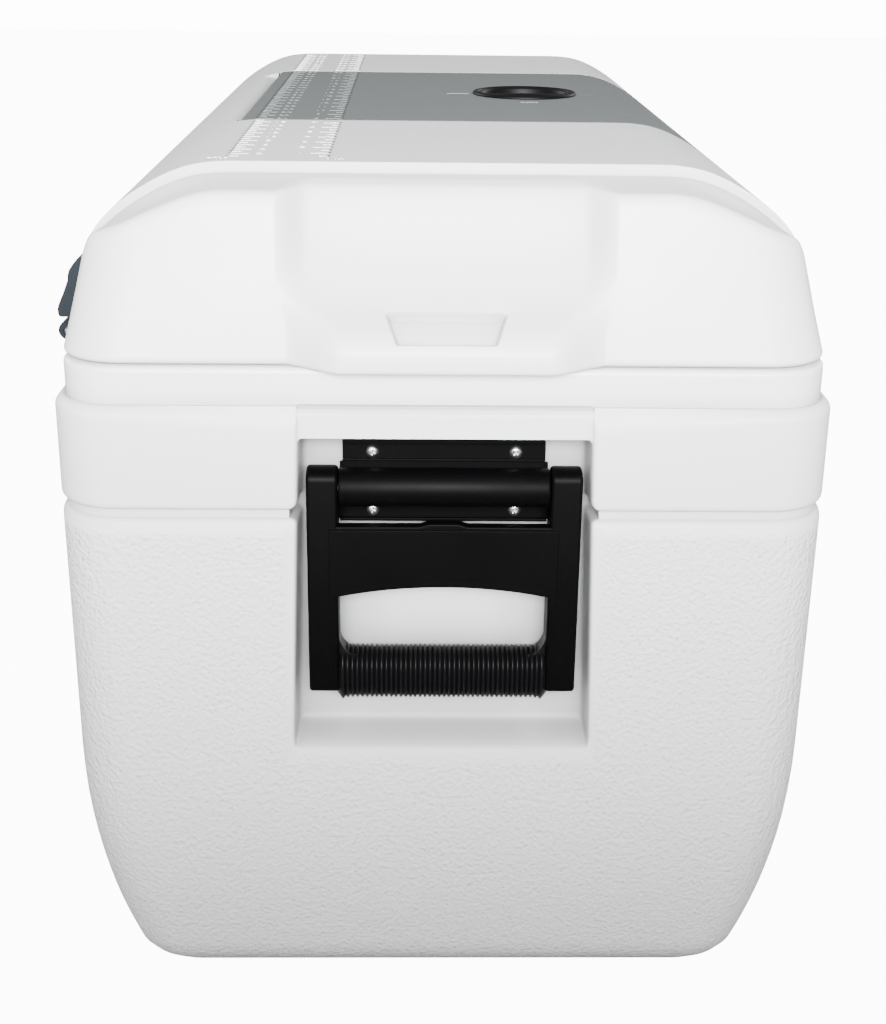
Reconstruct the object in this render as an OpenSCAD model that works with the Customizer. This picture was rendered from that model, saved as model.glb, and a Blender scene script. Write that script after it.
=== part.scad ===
// Large insulated cooler chest: foam-filled tub, domed lid, quick-access hatch with a rotary
// latch, two drop-down bail handles, three rear hinges and an end drain.
// Frame: origin at the centre of the flat bottom, +X along the length, front at -Y, +Z up.

/* [Chest] */
// Length over the raised band, in mm
chest_l = 950; // [930:1:970]
// Width over the raised band
chest_w = 460; // [450:1:470]
// Height of the closed chest
chest_h = 540; // [535:1:550]
// Height of the seam between tub and lid
seam_z = 434; // [432:1:436]
// Lower edge of the band round the tub's top
band_z = 350; // [348:1:352]
// Height of the band
band_h = 62; // [60:1:64]
// Depth of the groove between the tub's lower body and the band
groove_in = 3; // [2.5:0.1:3.5]
// How far the neck under the lid is drawn in from the band
neck_in = 6.5; // [6:0.1:7]
// Plan radius of the tub's vertical corners
corner_r = 45; // [40:1:50]
// Thickness of every moulded plastic skin
skin = 3; // [2.5:0.1:3.2]

/* [Storage well] */
// Wall thickness from the band's face to the well, at the ends
well_end = 45; // [44:0.5:46]
// Wall thickness from the band's face to the well, at the sides
well_side = 27; // [26:0.5:30]
// Height of the well's floor
well_floor = 38; // [36:1:40]

/* [Lid] */
// Step from the lid's plateau down to the ledge around its ends
ledge_drop = 10; // [8:1:12]
// Half length of the plateau
plateau_x = 397; // [390:1:400]
// Distance that the finger tongue stands out from the band at each end
tongue_out = 11; // [8:1:12]
// Half width of the tongue's flat front
tongue_y = 60; // [55:1:65]

/* [Hatch] */
// Half length of the hatch door
hatch_x = 190; // [180:1:195]
// Thickness of the hatch door's skin panel
hatch_t = 10; // [9:0.5:11]
// Rear edge of the hatch door
hatch_rear_y = 141; // [139:0.5:142]
// Diameter of the rotary latch's raised ring
latch_d = 85; // [80:1:86]
// Distance of the latch's centre in front of the chest's centre line
latch_y = 72; // [68:1:74]

/* [Handles] */
// Height of the handles' pivots
pivot_z = 359.5; // [358:0.5:362]
// Width of a handle over its arms
bail_w = 162.6; // [160:0.2:163]
// Width of one handle arm
arm_w = 18.5; // [18:0.5:19]
// Height of the grip's lowest line
grip_z = 222.5; // [220:0.5:226]
// Diameter of the handles' pivot pins
bail_pin_d = 8; // [6:0.5:9]
// Depth of the handle pockets behind the band's face
pocket_depth = 30; // [29.5:0.5:31]

/* [Lid hinges] */
// Distance between neighbouring hinges
hinge_pitch = 315; // [280:5:330]
// Width of one hinge
hinge_w = 76; // [70:1:80]
// Rearward position of the hinge axis
hinge_y = 239; // [238:0.5:240]
// Height of the hinge axis
hinge_z = 426; // [425:0.5:427]

/* [Drain] */
// Height of the drain's axis
drain_z = 58; // [57:0.5:60]
// Outer diameter of the drain spout
drain_d = 26; // [24:0.5:26]

/* [Hidden] */
$fn = 64;
corner_fn = 28;            // facets round a hulled corner
gap = 0.3;                 // space left between glued or nested pieces
run = 0.05;                // radial running clearance of a pin in its bore
over = 1;                  // how far a cut runs past the surface it opens

half_l = chest_l / 2;
half_w = chest_w / 2;
band_top = band_z + band_h;
neck_x = half_l - neck_in;
neck_y = half_w - neck_in;

// Lower body of the tub
body_top = band_z - 6;
tub_draft = 1.5;
sweep_in = 29;
sweep_z = 185;
toe_in = 22;
toe_z = 25;
foot_levels = [0, 3, 8, 16, 25, 50, 80, 115, 150, 185];
lip_in = 2.5;              // the body's top edge leans in to the groove
lip_h = 5;
waist_z = body_top - 12;   // above this height the wall thickens towards the band

// Storage well
well_x = half_l - well_end;
well_y = half_w - well_side;

// Lid
lid_z = seam_z + 2;
lid_x = half_l - 9;
lid_y = neck_y;
ledge_z = chest_h - ledge_drop;
ledge_x = 448;
brow_x = 440;
lid_corner_r = 42;
scoop_y = 98;
tongue_x = half_l + tongue_out;
pan_top = 455;

// Hatch and its seat in the lid
seat_drop = hatch_t + 4;
seat_side = 1.5;
throat_x = 160;
throat_front = -166;
throat_rear = 118;
plug_x = 156;
plug_front = -137;
plug_rear = 112;
plug_z = 480;
hatch_axis_y = hatch_rear_y - 7;
hatch_axis_z = chest_h - 7;
hatch_pin_r = 2;
knuckle_relief = 10.5;

// Rotary latch
ring_r = latch_d / 2;
cup_r = ring_r - 5;
spindle_r = 6;
cam_len = 90;
cam_z = plug_z - 9;

// Handles
pivot_x = half_l - 15;
arm_r = 13.5;
barrel_r = 11.5;
pocket_x = half_l - pocket_depth;
pocket_y = 84;
pocket_foot_y = 91;
header_low = 394;
header_x = half_l - 3;
pocket_low = 193;
plate_y = 60.5;
plate_t = 3.3;
plate_x = pocket_x + gap;
screw_y = 42.6;
screw_rows = [378, 341.5];
screw_r = 2;
screw_head_r = 3.75;

// Hinges
knuckle_r = 6;
hinge_pin_r = 2.5;
knuckle_w = hinge_w / 3;
hinge_screw_x = 25;
hinge_screw_z = 419;
lid_screw_z = 462;
hinge_screw_r = 1.8;

// Drain
spout_r = drain_d / 2;
drain_in_x = 398;
drain_out_x = 440;
spout_end_x = 464;

// ---------------------------------------------------------------- helpers

// Flat slab with rounded plan corners, sitting on z
module slab(x, y, r, z, h) {
    translate([0, 0, z])
        linear_extrude(h)
            offset(r, $fn = corner_fn)
                square([2 * (x - r), 2 * (y - r)], center = true);
}

// Cylinder along X, from x0 to x1, centred on (y, z)
module rod_x(r, x0, x1, y, z) {
    translate([x0, y, z])
        rotate([0, 90, 0])
            cylinder(r = r, h = x1 - x0);
}

// Cylinder along Y, from y0 to y1, centred on (x, z)
module rod_y(r, y0, y1, x, z) {
    translate([x, y0, z])
        rotate([-90, 0, 0])
            cylinder(r = r, h = y1 - y0);
}

// Box from its lowest and highest corners
module block(low, high) {
    translate(low)
        cube(high - low);
}

// Extrudes a (y, z) outline along X, from x0 to x1
module along_x(x0, x1) {
    translate([x0, 0, 0])
        rotate([90, 0, 90])
            linear_extrude(x1 - x0)
                children();
}

// Extrudes an (x, z) outline along Y, from y0 to y1
module along_y(y0, y1) {
    translate([0, y1, 0])
        rotate([90, 0, 0])
            linear_extrude(y1 - y0)
                children();
}

// Repeats what is modelled at the +X end at one end or at both
module at_end(side) {
    mirror([side < 0 ? 1 : 0, 0, 0])
        children();
}

module both_ends() {
    for (side = [-1, 1])
        at_end(side)
            children();
}

module each_hinge() {
    for (i = [-1:1])
        translate([i * hinge_pitch, 0, 0])
            children();
}

// ---------------------------------------------------------------- tub

// How far the tub's wall is drawn in at height z: a slight draft, a long sweep and a round toe
function foot_inset(z) =
    tub_draft * max(0, 1 - z / band_z)
    + sweep_in * pow(max(0, 1 - z / sweep_z), 1.8)
    + toe_in * pow(max(0, 1 - z / toe_z), 2);

// The tub's lower body with its rounded foot, offset by grow and cut off at height top
module tub_form(grow, top) {
    hull() {
        for (z = foot_levels)
            slab(half_l - foot_inset(z) + grow, half_w - foot_inset(z) + grow,
                 corner_r + grow, z - (z == 0 ? grow : 0), 0.8);
        slab(half_l + grow, half_w + grow, corner_r + grow, top - lip_h, 1);
        slab(half_l - lip_in + grow, half_w - lip_in + grow, corner_r - lip_in + grow, top - 1, 1);
    }
}

// The tub's foam space: wide in the lower body, and narrower by inset behind the groove and the band
module tub_void(grow, inset, top) {
    tub_form(grow, waist_z);
    slab(half_l - inset, half_w - inset, corner_r - inset, waist_z - 20, top - waist_z + 20);
}

// The handle pocket's hollow at the +X end, offset by grow
module pocket_form(grow) {
    intersection() {
        along_y(-pocket_foot_y - 5 - grow, pocket_foot_y + 5 + grow)
            polygon([
                [half_l + over, band_top + over],
                [header_x - grow, band_top + over],
                [header_x - grow, header_low + grow],
                [pocket_x - grow, header_low - 3 + grow],
                [pocket_x - grow, pocket_low + 6 - grow],
                [half_l + over, pocket_low - grow]
            ]);
        along_x(pocket_x - 10, half_l + 2 * over)
            polygon([
                [-pocket_y - grow, band_top + over],
                [pocket_y + grow, band_top + over],
                [pocket_y + grow, 300],
                [pocket_foot_y + grow, pocket_low - 9],
                [-pocket_foot_y - grow, pocket_low - 9],
                [-pocket_y - grow, 300]
            ]);
    }
}

// Shank holes of the handle bracket's four screws
module bracket_screw_holes(r) {
    for (y = [-screw_y, screw_y], z = screw_rows)
        rod_x(r, pocket_x - 12, half_l, y, z);
}

module outer_shell() {
    groove_x = half_l - groove_in;
    groove_y = half_w - groove_in;
    color("white")
        difference() {
            union() {
                difference() {
                    union() {
                        tub_form(0, body_top);
                        slab(groove_x, groove_y, corner_r - groove_in, body_top - 2, band_z - body_top + 4);
                        slab(half_l, half_w, corner_r, band_z, band_h);
                    }
                    tub_void(-skin, groove_in + skin, band_top + over);
                }
                both_ends()
                    intersection() {
                        pocket_form(skin);
                        block([pocket_x - skin, -half_w, 0], [groove_x - 0.2, half_w, band_top - 1]);
                    }
                intersection() {
                    tub_form(-0.5, body_top);
                    rod_x(26, drain_out_x - 6, half_l, 0, drain_z);
                }
            }
            both_ends() {
                pocket_form(0);
                bracket_screw_holes(screw_r + 0.1);
            }
            rod_x(23, drain_out_x, half_l, 0, drain_z);
            rod_x(spout_r + 0.1, drain_in_x, half_l, 0, drain_z);
        }
}

// The liner's tub, offset by grow and cut off at height top
module well_form(grow, top) {
    hull() {
        slab(well_x - 38 + grow, well_y - 38 + grow, 30, well_floor - grow, 1);
        slab(well_x - 28 + grow, well_y - 28 + grow, 34, well_floor + 5 - grow, 1);
        slab(well_x - 22 + grow, well_y - 22 + grow, 38, well_floor + 22 - grow, 1);
        slab(well_x - 12 + grow, well_y - 12 + grow, 40, well_floor + 75, 1);
        slab(well_x + grow, well_y + grow, 40, top - 1, 1);
    }
}

module inner_liner() {
    flange_r = corner_r - neck_in;
    skirt_z = band_top + 0.2;
    color("whitesmoke")
        difference() {
            union() {
                well_form(skin, seam_z);
                difference() {
                    slab(neck_x, neck_y, flange_r, skirt_z, seam_z - skirt_z);
                    slab(neck_x - skin, neck_y - skin, flange_r - skin, skirt_z - over,
                         seam_z - skirt_z - skin + over);
                }
                rod_x(22, drain_in_x, drain_in_x + 15, 0, drain_z);
            }
            well_form(0, seam_z + over);
            rod_x(21, drain_in_x - 30, drain_in_x, 0, drain_z);
            rod_x(spout_r + 0.1, drain_in_x - 30, half_l, 0, drain_z);
            each_hinge()
                base_screw_holes(hinge_screw_r + 0.1);
        }
}

module foam_core() {
    foam_top = seam_z - skin - gap;
    color("khaki")
        difference() {
            union() {
                tub_void(-skin - gap - 0.5, groove_in + skin + gap, band_top - gap);
                slab(neck_x - skin - gap, neck_y - skin - gap, corner_r - neck_in - skin, band_top - 2,
                     foam_top - band_top + 2);
            }
            well_form(skin + gap, foam_top + over);
            both_ends() {
                pocket_form(skin + gap);
                bracket_screw_holes(screw_r + gap);
            }
            rod_x(26 + gap, drain_out_x - 6 - gap, half_l, 0, drain_z);
            rod_x(22 + gap, 0, drain_in_x + 15 + gap, 0, drain_z);
            rod_x(spout_r + gap, 0, half_l, 0, drain_z);
            each_hinge()
                base_screw_holes(hinge_screw_r + gap);
        }
}

// ---------------------------------------------------------------- handles, modelled at +X

module handle_bracket() {
    plate_low = 334.5;
    plate_high = 385.5;
    plate_face = plate_x + plate_t;
    color("#1c1c1e")
        difference() {
            union() {
                block([plate_x, -plate_y, plate_low], [plate_face, plate_y, plate_high]);
                for (z = [plate_high - 3, plate_high - 13.4, plate_low + 1])
                    block([plate_face - 1, -plate_y, z], [plate_face + 1, plate_y, z + 2]);
                rod_y(barrel_r, -bail_w / 2 + arm_w + 0.5, bail_w / 2 - arm_w - 0.5, pivot_x, pivot_z);
                block([plate_x, -plate_y, pivot_z - 7], [pivot_x, plate_y, pivot_z + 7]);
            }
            rod_y(bail_pin_d / 2 + run, -half_w, half_w, pivot_x, pivot_z);
            bracket_screw_holes(screw_r + 0.1);
        }
}

module handle_screws() {
    face = plate_x + plate_t;
    color("silver")
        both_ends()
            for (y = [-screw_y, screw_y], z = screw_rows)
                difference() {
                    union() {
                        rod_x(screw_r, pocket_x - 11, face + 0.5, y, z);
                        rod_x(screw_head_r, face + 0.1, face + 2.4, y, z);
                    }
                    block([face + 1.4, y - 2.2, z - 0.4], [face + 3, y + 2.2, z + 0.4]);
                    block([face + 1.4, y - 0.4, z - 2.2], [face + 3, y + 0.4, z + 2.2]);
                }
}

module handle_bail() {
    arm_in = bail_w / 2 - arm_w;
    arm_back = pivot_x - 10.5;
    arm_front = pivot_x + 11;
    arm_foot = grip_z + 7.5;
    web_low = 294.5;
    web_high = 340;
    web_rise = 7;
    arch_r = (pow(arm_in, 2) + pow(web_rise, 2)) / (2 * web_rise);
    color("#18181a")
        difference() {
            union() {
                for (side = [0, 1])
                    mirror([0, side, 0]) {
                        rod_y(arm_r, arm_in, bail_w / 2, pivot_x, pivot_z);
                        block([arm_back, arm_in, arm_foot], [arm_front, bail_w / 2, pivot_z]);
                    }
                block([pivot_x + 3, -arm_in - 1, web_low], [arm_front, arm_in + 1, web_high]);
                block([pivot_x - 9, -arm_in - 1, grip_z + 8], [pivot_x + 9, arm_in + 1, grip_z + 26]);
            }
            rod_x(arch_r, pivot_x, half_l, 0, web_low + web_rise - arch_r, $fn = 240);
            rod_y(bail_pin_d / 2 + run, -bail_w / 2 + 4, bail_w / 2 - 4, pivot_x, pivot_z);
        }
}

module handle_grip() {
    grip_y = bail_w / 2 - arm_w - 0.5;
    lobe_r = 13;
    grip_h = 33.5;
    color("#141415")
        difference() {
            hull()
                for (z = [grip_z + lobe_r, grip_z + grip_h - lobe_r])
                    rod_y(lobe_r, -grip_y, grip_y, pivot_x, z, $fn = 32);
            block([pivot_x - 9.2, -half_w, grip_z + 7.8], [pivot_x + 9.2, half_w, grip_z + 26.2]);
        }
}

module handle_pin() {
    color("silver")
        rod_y(bail_pin_d / 2, -bail_w / 2 + 4.3, bail_w / 2 - 4.3, pivot_x, pivot_z);
}

// ---------------------------------------------------------------- lid hinges

// Shank holes of a hinge base, centred on its hinge
module base_screw_holes(r) {
    for (x = [-hinge_screw_x, hinge_screw_x])
        rod_y(r, neck_y - 12, hinge_y, x, hinge_screw_z);
}

// Shank holes of a hinge leaf, centred on its hinge
module leaf_screw_holes(r) {
    for (x = [-hinge_screw_x, hinge_screw_x])
        rod_y(r, lid_y - 20, hinge_y, x, lid_screw_z);
}

module hinge_base() {
    back = neck_y + gap;
    low = band_top + 0.8;
    color("#50585f")
        difference() {
            union() {
                block([-hinge_w / 2, back, low], [hinge_w / 2, back + 3, low + 20]);
                for (x = [-hinge_w / 2, knuckle_w / 2 + 0.4]) {
                    rod_x(knuckle_r, x, x + knuckle_w - 0.4, hinge_y, hinge_z);
                    block([x, back, hinge_z - 5], [x + knuckle_w - 0.4, hinge_y, hinge_z + 5]);
                }
            }
            rod_x(hinge_pin_r + run, -hinge_w, hinge_w, hinge_y, hinge_z);
            base_screw_holes(hinge_screw_r + 0.1);
            for (x = [-hinge_screw_x, hinge_screw_x])
                rod_y(3.6, back + 2, half_w + 30, x, hinge_screw_z);
        }
}

module hinge_base_screws() {
    head_y = neck_y + gap + 2.1;
    color("silver")
        each_hinge()
            for (x = [-hinge_screw_x, hinge_screw_x]) {
                rod_y(hinge_screw_r, neck_y - 10, head_y + 0.5, x, hinge_screw_z);
                rod_y(3.3, head_y, head_y + 1.8, x, hinge_screw_z);
            }
}

module hinge_leaf() {
    color("#50585f")
        difference() {
            union() {
                along_x(-hinge_w / 2, hinge_w / 2)
                    polygon([
                        [lid_y + 0.2, hinge_z + 10.5],
                        [hinge_y + 4.5, hinge_z + 9.5],
                        [hinge_y + 5.5, hinge_z + 13],
                        [hinge_y + 4.8, hinge_z + 17],
                        [hinge_y - 2.6, hinge_z + 33.5],
                        [hinge_y - 3, hinge_z + 37],
                        [hinge_y - 9.5, hinge_z + 47],
                        [lid_y - 5.9, hinge_z + 47]
                    ]);
                rod_x(knuckle_r, -knuckle_w / 2, knuckle_w / 2, hinge_y, hinge_z);
                block([-knuckle_w / 2, hinge_y - 4, hinge_z], [knuckle_w / 2, hinge_y + 4, hinge_z + 15]);
            }
            rod_x(hinge_pin_r + run, -hinge_w, hinge_w, hinge_y, hinge_z);
            leaf_screw_holes(hinge_screw_r + 0.1);
            for (x = [-hinge_screw_x, hinge_screw_x])
                rod_y(3.8, hinge_y - 9, half_w + 30, x, lid_screw_z);
        }
}

module hinge_leaf_screws() {
    head_y = hinge_y - 8.9;
    color("silver")
        each_hinge()
            for (x = [-hinge_screw_x, hinge_screw_x]) {
                rod_y(hinge_screw_r, lid_y - 18, head_y + 0.5, x, lid_screw_z);
                rod_y(3.3, head_y, head_y + 2, x, lid_screw_z);
            }
}

module hinge_pin() {
    color("silver")
        rod_x(hinge_pin_r, -hinge_w / 2, hinge_w / 2, hinge_y, hinge_z);
}

// ---------------------------------------------------------------- lid

// Right half of the lid's cross-section above its side face, at height top
function shoulder(top) = [
    [140, top], [161, top - 6], [174, top - 13], [195, top - 25], [205, top - 34], [lid_y - 10.5, top - 45]
];

function mirrored(points) = [for (i = [len(points) - 1:-1:0]) [-points[i][0], points[i][1]]];

// Whole (y, z) outline of the lid with its flat at height top
module lid_outline(top) {
    right = concat([[lid_y, lid_z]], [for (i = [5:-1:0]) shoulder(top)[i]]);
    polygon(concat(right, mirrored(right)));
}

// The lid's solid form, offset inwards by shrink
module lid_form(shrink) {
    hull() {
        slab(lid_x - shrink, lid_y - shrink, lid_corner_r - shrink, lid_z - (shrink > 0 ? over : 0), 1);
        along_x(-brow_x + shrink, brow_x - shrink)
            offset(delta = -shrink)
                lid_outline(ledge_z);
        along_x(-ledge_x + shrink, ledge_x - shrink)
            offset(delta = -shrink - 7)
                lid_outline(ledge_z + 6.5);
    }
    hull()
        along_x(-plateau_x + shrink, plateau_x - shrink)
            offset(delta = -shrink)
                lid_outline(chest_h);
}

// The hatch panel's cross-section between two depths under the lid's surface
module hatch_section(depth0, depth1, rear, front_z) {
    intersection() {
        difference() {
            offset(delta = -depth0)
                lid_outline(chest_h);
            offset(delta = -depth1)
                lid_outline(chest_h);
        }
        translate([-half_w, front_z])
            square([half_w + rear, chest_h]);
    }
}

// Slanting face of the finger scoop and its tongue, as an (x, z) outline for the +X end
module tongue_outline() {
    polygon([
        [ledge_x - 25, ledge_z - 2],
        [430, ledge_z - 4],
        [447, ledge_z - 32],
        [468, ledge_z - 58],
        [tongue_x - 3, ledge_z - 76],
        [tongue_x, lid_z + 12],
        [tongue_x, lid_z],
        [lid_x + 6, lid_z],
        [ledge_x - 25, lid_z + 12]
    ]);
}

module lid_shell() {
    seat_x = hatch_x + seat_side;
    seat_rear = hatch_rear_y + 2;
    seat_low = chest_h - seat_drop;
    color("white")
        difference() {
            union() {
                difference() {
                    lid_form(0);
                    lid_form(skin);
                    both_ends()
                        block([420, -scoop_y, lid_z + 10], [half_l + 20, scoop_y, chest_h]);
                }
                both_ends()
                    hull() {
                        along_y(-tongue_y, tongue_y)
                            tongue_outline();
                        block([410, -scoop_y - 2, lid_z + 12], [lid_x - 6, scoop_y + 2, ledge_z - 40]);
                        block([410, -scoop_y - 2, ledge_z - 40], [432, scoop_y + 2, ledge_z - 4]);
                    }
                along_x(-seat_x - skin, seat_x + skin)
                    hatch_section(1, seat_drop + skin, seat_rear + skin, 480);
                block([-throat_x - skin, throat_front - skin, pan_top + gap],
                      [throat_x + skin, throat_rear + skin, seat_low]);
                difference() {
                    union() {
                        rod_x(knuckle_relief + 2.5, -seat_x - skin, seat_x + skin, hatch_axis_y, hatch_axis_z);
                        rod_x(6.5, -seat_x - 15, seat_x + 15, hatch_axis_y, hatch_axis_z);
                    }
                    block([-half_l, 0, chest_h - 1], [half_l, half_w, chest_h + 20]);
                }
                block([-seat_x - skin, seat_rear, chest_h - 10], [seat_x + skin, seat_rear + 30, chest_h - 1]);
            }
            along_x(-seat_x, seat_x)
                hatch_section(-10, seat_drop, seat_rear, 496);
            rod_x(knuckle_relief, -seat_x, seat_x, hatch_axis_y, hatch_axis_z);
            rod_x(25, -seat_x + 12, seat_x - 12, seat_rear + 11, chest_h + 20);
            rod_x(hatch_pin_r + run, -seat_x - 10, seat_x + 10, hatch_axis_y, hatch_axis_z);
            block([-throat_x, throat_front, seam_z], [throat_x, throat_rear, seat_low + 1]);
            each_hinge()
                leaf_screw_holes(hinge_screw_r + 0.1);
        }
}

module lid_foam() {
    seat_x = hatch_x + seat_side + skin + gap;
    seat_rear = hatch_rear_y + 2 + skin + gap;
    color("khaki")
        difference() {
            lid_form(skin + gap);
            slab(lid_x, lid_y, 5, lid_z - 1, 3 + gap);
            pan_form(gap);
            along_x(-seat_x, seat_x)
                hatch_section(-10, seat_drop + skin + gap, seat_rear, 470);
            block([-throat_x - skin - gap, throat_front - skin - gap, 0],
                  [throat_x + skin + gap, throat_rear + skin + gap, chest_h]);
            rod_x(knuckle_relief + 2.5 + gap, -seat_x, seat_x, hatch_axis_y, hatch_axis_z);
            rod_x(6.5 + gap, -seat_x - 15, seat_x + 15, hatch_axis_y, hatch_axis_z);
            block([-seat_x, 0, chest_h - 10 - gap], [seat_x, seat_rear + 30, chest_h]);
            both_ends()
                block([400, -scoop_y - 3, 0], [half_l, scoop_y + 3, chest_h]);
            each_hinge()
                leaf_screw_holes(hinge_screw_r + gap);
        }
}

// Raised middle of the lid's inner pan, offset by grow
module pan_form(grow) {
    hull() {
        slab(412 + grow, well_y - 18 + grow, 30, seam_z - 10, 12);
        slab(396 + grow, well_y - 34 + grow, 24, pan_top + grow - 1, 1);
    }
}

module lid_liner() {
    rim_z = seam_z + 0.5;
    color("whitesmoke")
        difference() {
            union() {
                slab(lid_x - 4, lid_y - 4, lid_corner_r - 4, rim_z, 1.2);
                slab(lid_x - skin - 1, lid_y - skin - 1, lid_corner_r - skin, rim_z + 1, 2.2);
                slab(well_x - 4, well_y - 4, 36, seam_z - 8, 9);
                pan_form(0);
            }
            translate([0, 0, -skin])
                pan_form(-skin);
            block([-throat_x, throat_front, seam_z], [throat_x, throat_rear, pan_top + over]);
        }
}

module hatch_hinge_pins() {
    color("silver")
        for (side = [0, 1])
            mirror([side, 0, 0])
                rod_x(hatch_pin_r, hatch_x - 14, hatch_x + 10, hatch_axis_y, hatch_axis_z);
}

// Lip on the throat's front wall that the latch cam turns under
module hatch_keeper() {
    wall = throat_front + gap;
    color("#2a2a2c") {
        block([-24, wall, plug_z - 14], [24, wall + 2.4, plug_z + 18]);
        block([-24, wall, plug_z + 1], [24, plug_front - 3, plug_z + 4]);
    }
}

// ---------------------------------------------------------------- hatch

module hatch_cover() {
    color("#949a9a")
        difference() {
            along_x(-hatch_x, hatch_x)
                difference() {
                    hatch_section(0, hatch_t, hatch_rear_y, 497);
                    translate([hatch_rear_y, chest_h])
                        rotate(45)
                            square(9, center = true);
                }
            translate([0, -latch_y, 0])
                cylinder(r = cup_r + 2, h = chest_h + over);
            for (side = [0, 1])
                mirror([side, 0, 0])
                    rod_x(hatch_pin_r + run, hatch_x - 15, hatch_x + over, hatch_axis_y, hatch_axis_z);
        }
}

module hatch_liner() {
    top = chest_h - hatch_t - gap;
    color("whitesmoke")
        difference() {
            block([-plug_x, plug_front, plug_z], [plug_x, plug_rear, top]);
            block([-plug_x + skin, plug_front + skin, plug_z + skin], [plug_x - skin, plug_rear - skin, top + 1]);
            translate([0, -latch_y, plug_z - over])
                cylinder(r = spindle_r + run, h = skin + 2);
        }
}

module hatch_foam() {
    in = skin + gap;
    color("khaki")
        difference() {
            block([-plug_x + in, plug_front + in, plug_z + in], [plug_x - in, plug_rear - in, chest_h - hatch_t - 2 * gap]);
            translate([0, -latch_y, plug_z])
                cylinder(r = spindle_r + 1, h = 60);
            translate([0, -latch_y, chest_h - 15])
                cylinder(r = cup_r + 3, h = 20);
        }
}

module latch_bezel() {
    color("#202022")
        translate([0, -latch_y, chest_h])
            rotate_extrude($fn = 96)
                polygon([
                    [cup_r + 0.6, -12], [cup_r + 1.8, -12], [cup_r + 1.8, 0.2],
                    [ring_r, 0.2], [ring_r - 0.8, 1.6], [ring_r - 2.4, 2.2], [cup_r + 0.6, 2]
                ]);
}

module latch_knob() {
    bar_w = 14;
    color("#1a1a1c")
        translate([0, -latch_y, chest_h])
            difference() {
                union() {
                    rotate_extrude($fn = 96)
                        polygon([
                            [0, -13], [cup_r - 2, -13], [cup_r, -11], [cup_r, 1], [cup_r - 2, 1], [cup_r - 4, -9], [0, -9]
                        ]);
                    translate([-cup_r + 2, -bar_w / 2, -10])
                        cube([2 * cup_r - 4, bar_w, 10]);
                }
                translate([0, 0, -14])
                    cylinder(r = spindle_r + 0.02, h = 6);
            }
}

module latch_spindle() {
    low = cam_z - 1;
    color("silver")
        translate([0, -latch_y, 0])
            difference() {
                translate([0, 0, low])
                    cylinder(r = spindle_r, h = chest_h - 9 - low);
                translate([0, 0, low - over])
                    cylinder(r = 2.1, h = 14);
            }
}

module latch_cam() {
    color("#2a2a2c")
        translate([0, -latch_y, cam_z])
            difference() {
                union() {
                    cylinder(r = 14, h = 8);
                    translate([0, -9, 0])
                        cube([cam_len, 18, 8]);
                }
                translate([0, 0, -over])
                    cylinder(r = spindle_r + 0.02, h = 10);
            }
}

module latch_screw() {
    color("silver")
        translate([0, -latch_y, cam_z - 3.8]) {
            cylinder(r = 8, h = 2.5);
            cylinder(r = 2, h = 14);
        }
}

// ---------------------------------------------------------------- drain

module drain_spout() {
    color("whitesmoke")
        difference() {
            union() {
                rod_x(spout_r, drain_in_x - 3, spout_end_x, 0, drain_z);
                rod_x(18, drain_in_x - 3.2, drain_in_x - 0.2, 0, drain_z);
            }
            rod_x(spout_r - 3.5, 0, half_l, 0, drain_z);
        }
}

module drain_gasket() {
    color("#303030")
        difference() {
            rod_x(20, drain_out_x + 0.1, drain_out_x + 2, 0, drain_z);
            rod_x(spout_r + 0.1, 0, half_l, 0, drain_z);
        }
}

module drain_nut() {
    color("whitesmoke")
        difference() {
            rod_x(22, drain_out_x + 2.1, drain_out_x + 9, 0, drain_z, $fn = 6);
            rod_x(spout_r + 0.1, 0, half_l, 0, drain_z, $fn = 64);
        }
}

module drain_cap() {
    color("white")
        difference() {
            rod_x(spout_r + 4, drain_out_x + 10, spout_end_x + 5, 0, drain_z);
            rod_x(spout_r + run, 0, spout_end_x + 0.5, 0, drain_z);
        }
}

// ---------------------------------------------------------------- assembly

outer_shell();
foam_core();
inner_liner();
at_end(-1) handle_bracket();  // handle_bracket_left
at_end(1) handle_bracket();  // handle_bracket_right
handle_screws();
translate([-hinge_pitch, 0, 0]) hinge_base();  // hinge_base_left
hinge_base();  // hinge_base_centre
translate([hinge_pitch, 0, 0]) hinge_base();  // hinge_base_right
hinge_base_screws();
translate([-hinge_pitch, 0, 0]) hinge_pin();  // hinge_pin_left
hinge_pin();  // hinge_pin_centre
translate([hinge_pitch, 0, 0]) hinge_pin();  // hinge_pin_right
drain_spout();
drain_gasket();
drain_nut();
drain_cap();
lid_shell();
lid_foam();
lid_liner();
translate([-hinge_pitch, 0, 0]) hinge_leaf();  // hinge_leaf_left
hinge_leaf();  // hinge_leaf_centre
translate([hinge_pitch, 0, 0]) hinge_leaf();  // hinge_leaf_right
hinge_leaf_screws();
hatch_hinge_pins();
hatch_keeper();
hatch_cover();
hatch_foam();
hatch_liner();
latch_bezel();
latch_knob();
latch_spindle();
latch_cam();
latch_screw();
at_end(-1) handle_bail();  // handle_bail_left
at_end(-1) handle_grip();  // handle_grip_left
at_end(-1) handle_pin();  // handle_pin_left
at_end(1) handle_bail();  // handle_bail_right
at_end(1) handle_grip();  // handle_grip_right
at_end(1) handle_pin();  // handle_pin_right
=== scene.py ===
"""Looks of a large insulated cooler chest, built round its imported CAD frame.

The builders work in mm from the centre of the flat bottom: +X runs to the drain end, -Y to the front, +Z up.
"""
from math import asin, copysign, cos, pi, radians, sin, sqrt
import bmesh
import bpy
import numpy as np
from mathutils import Matrix, Vector


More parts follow.
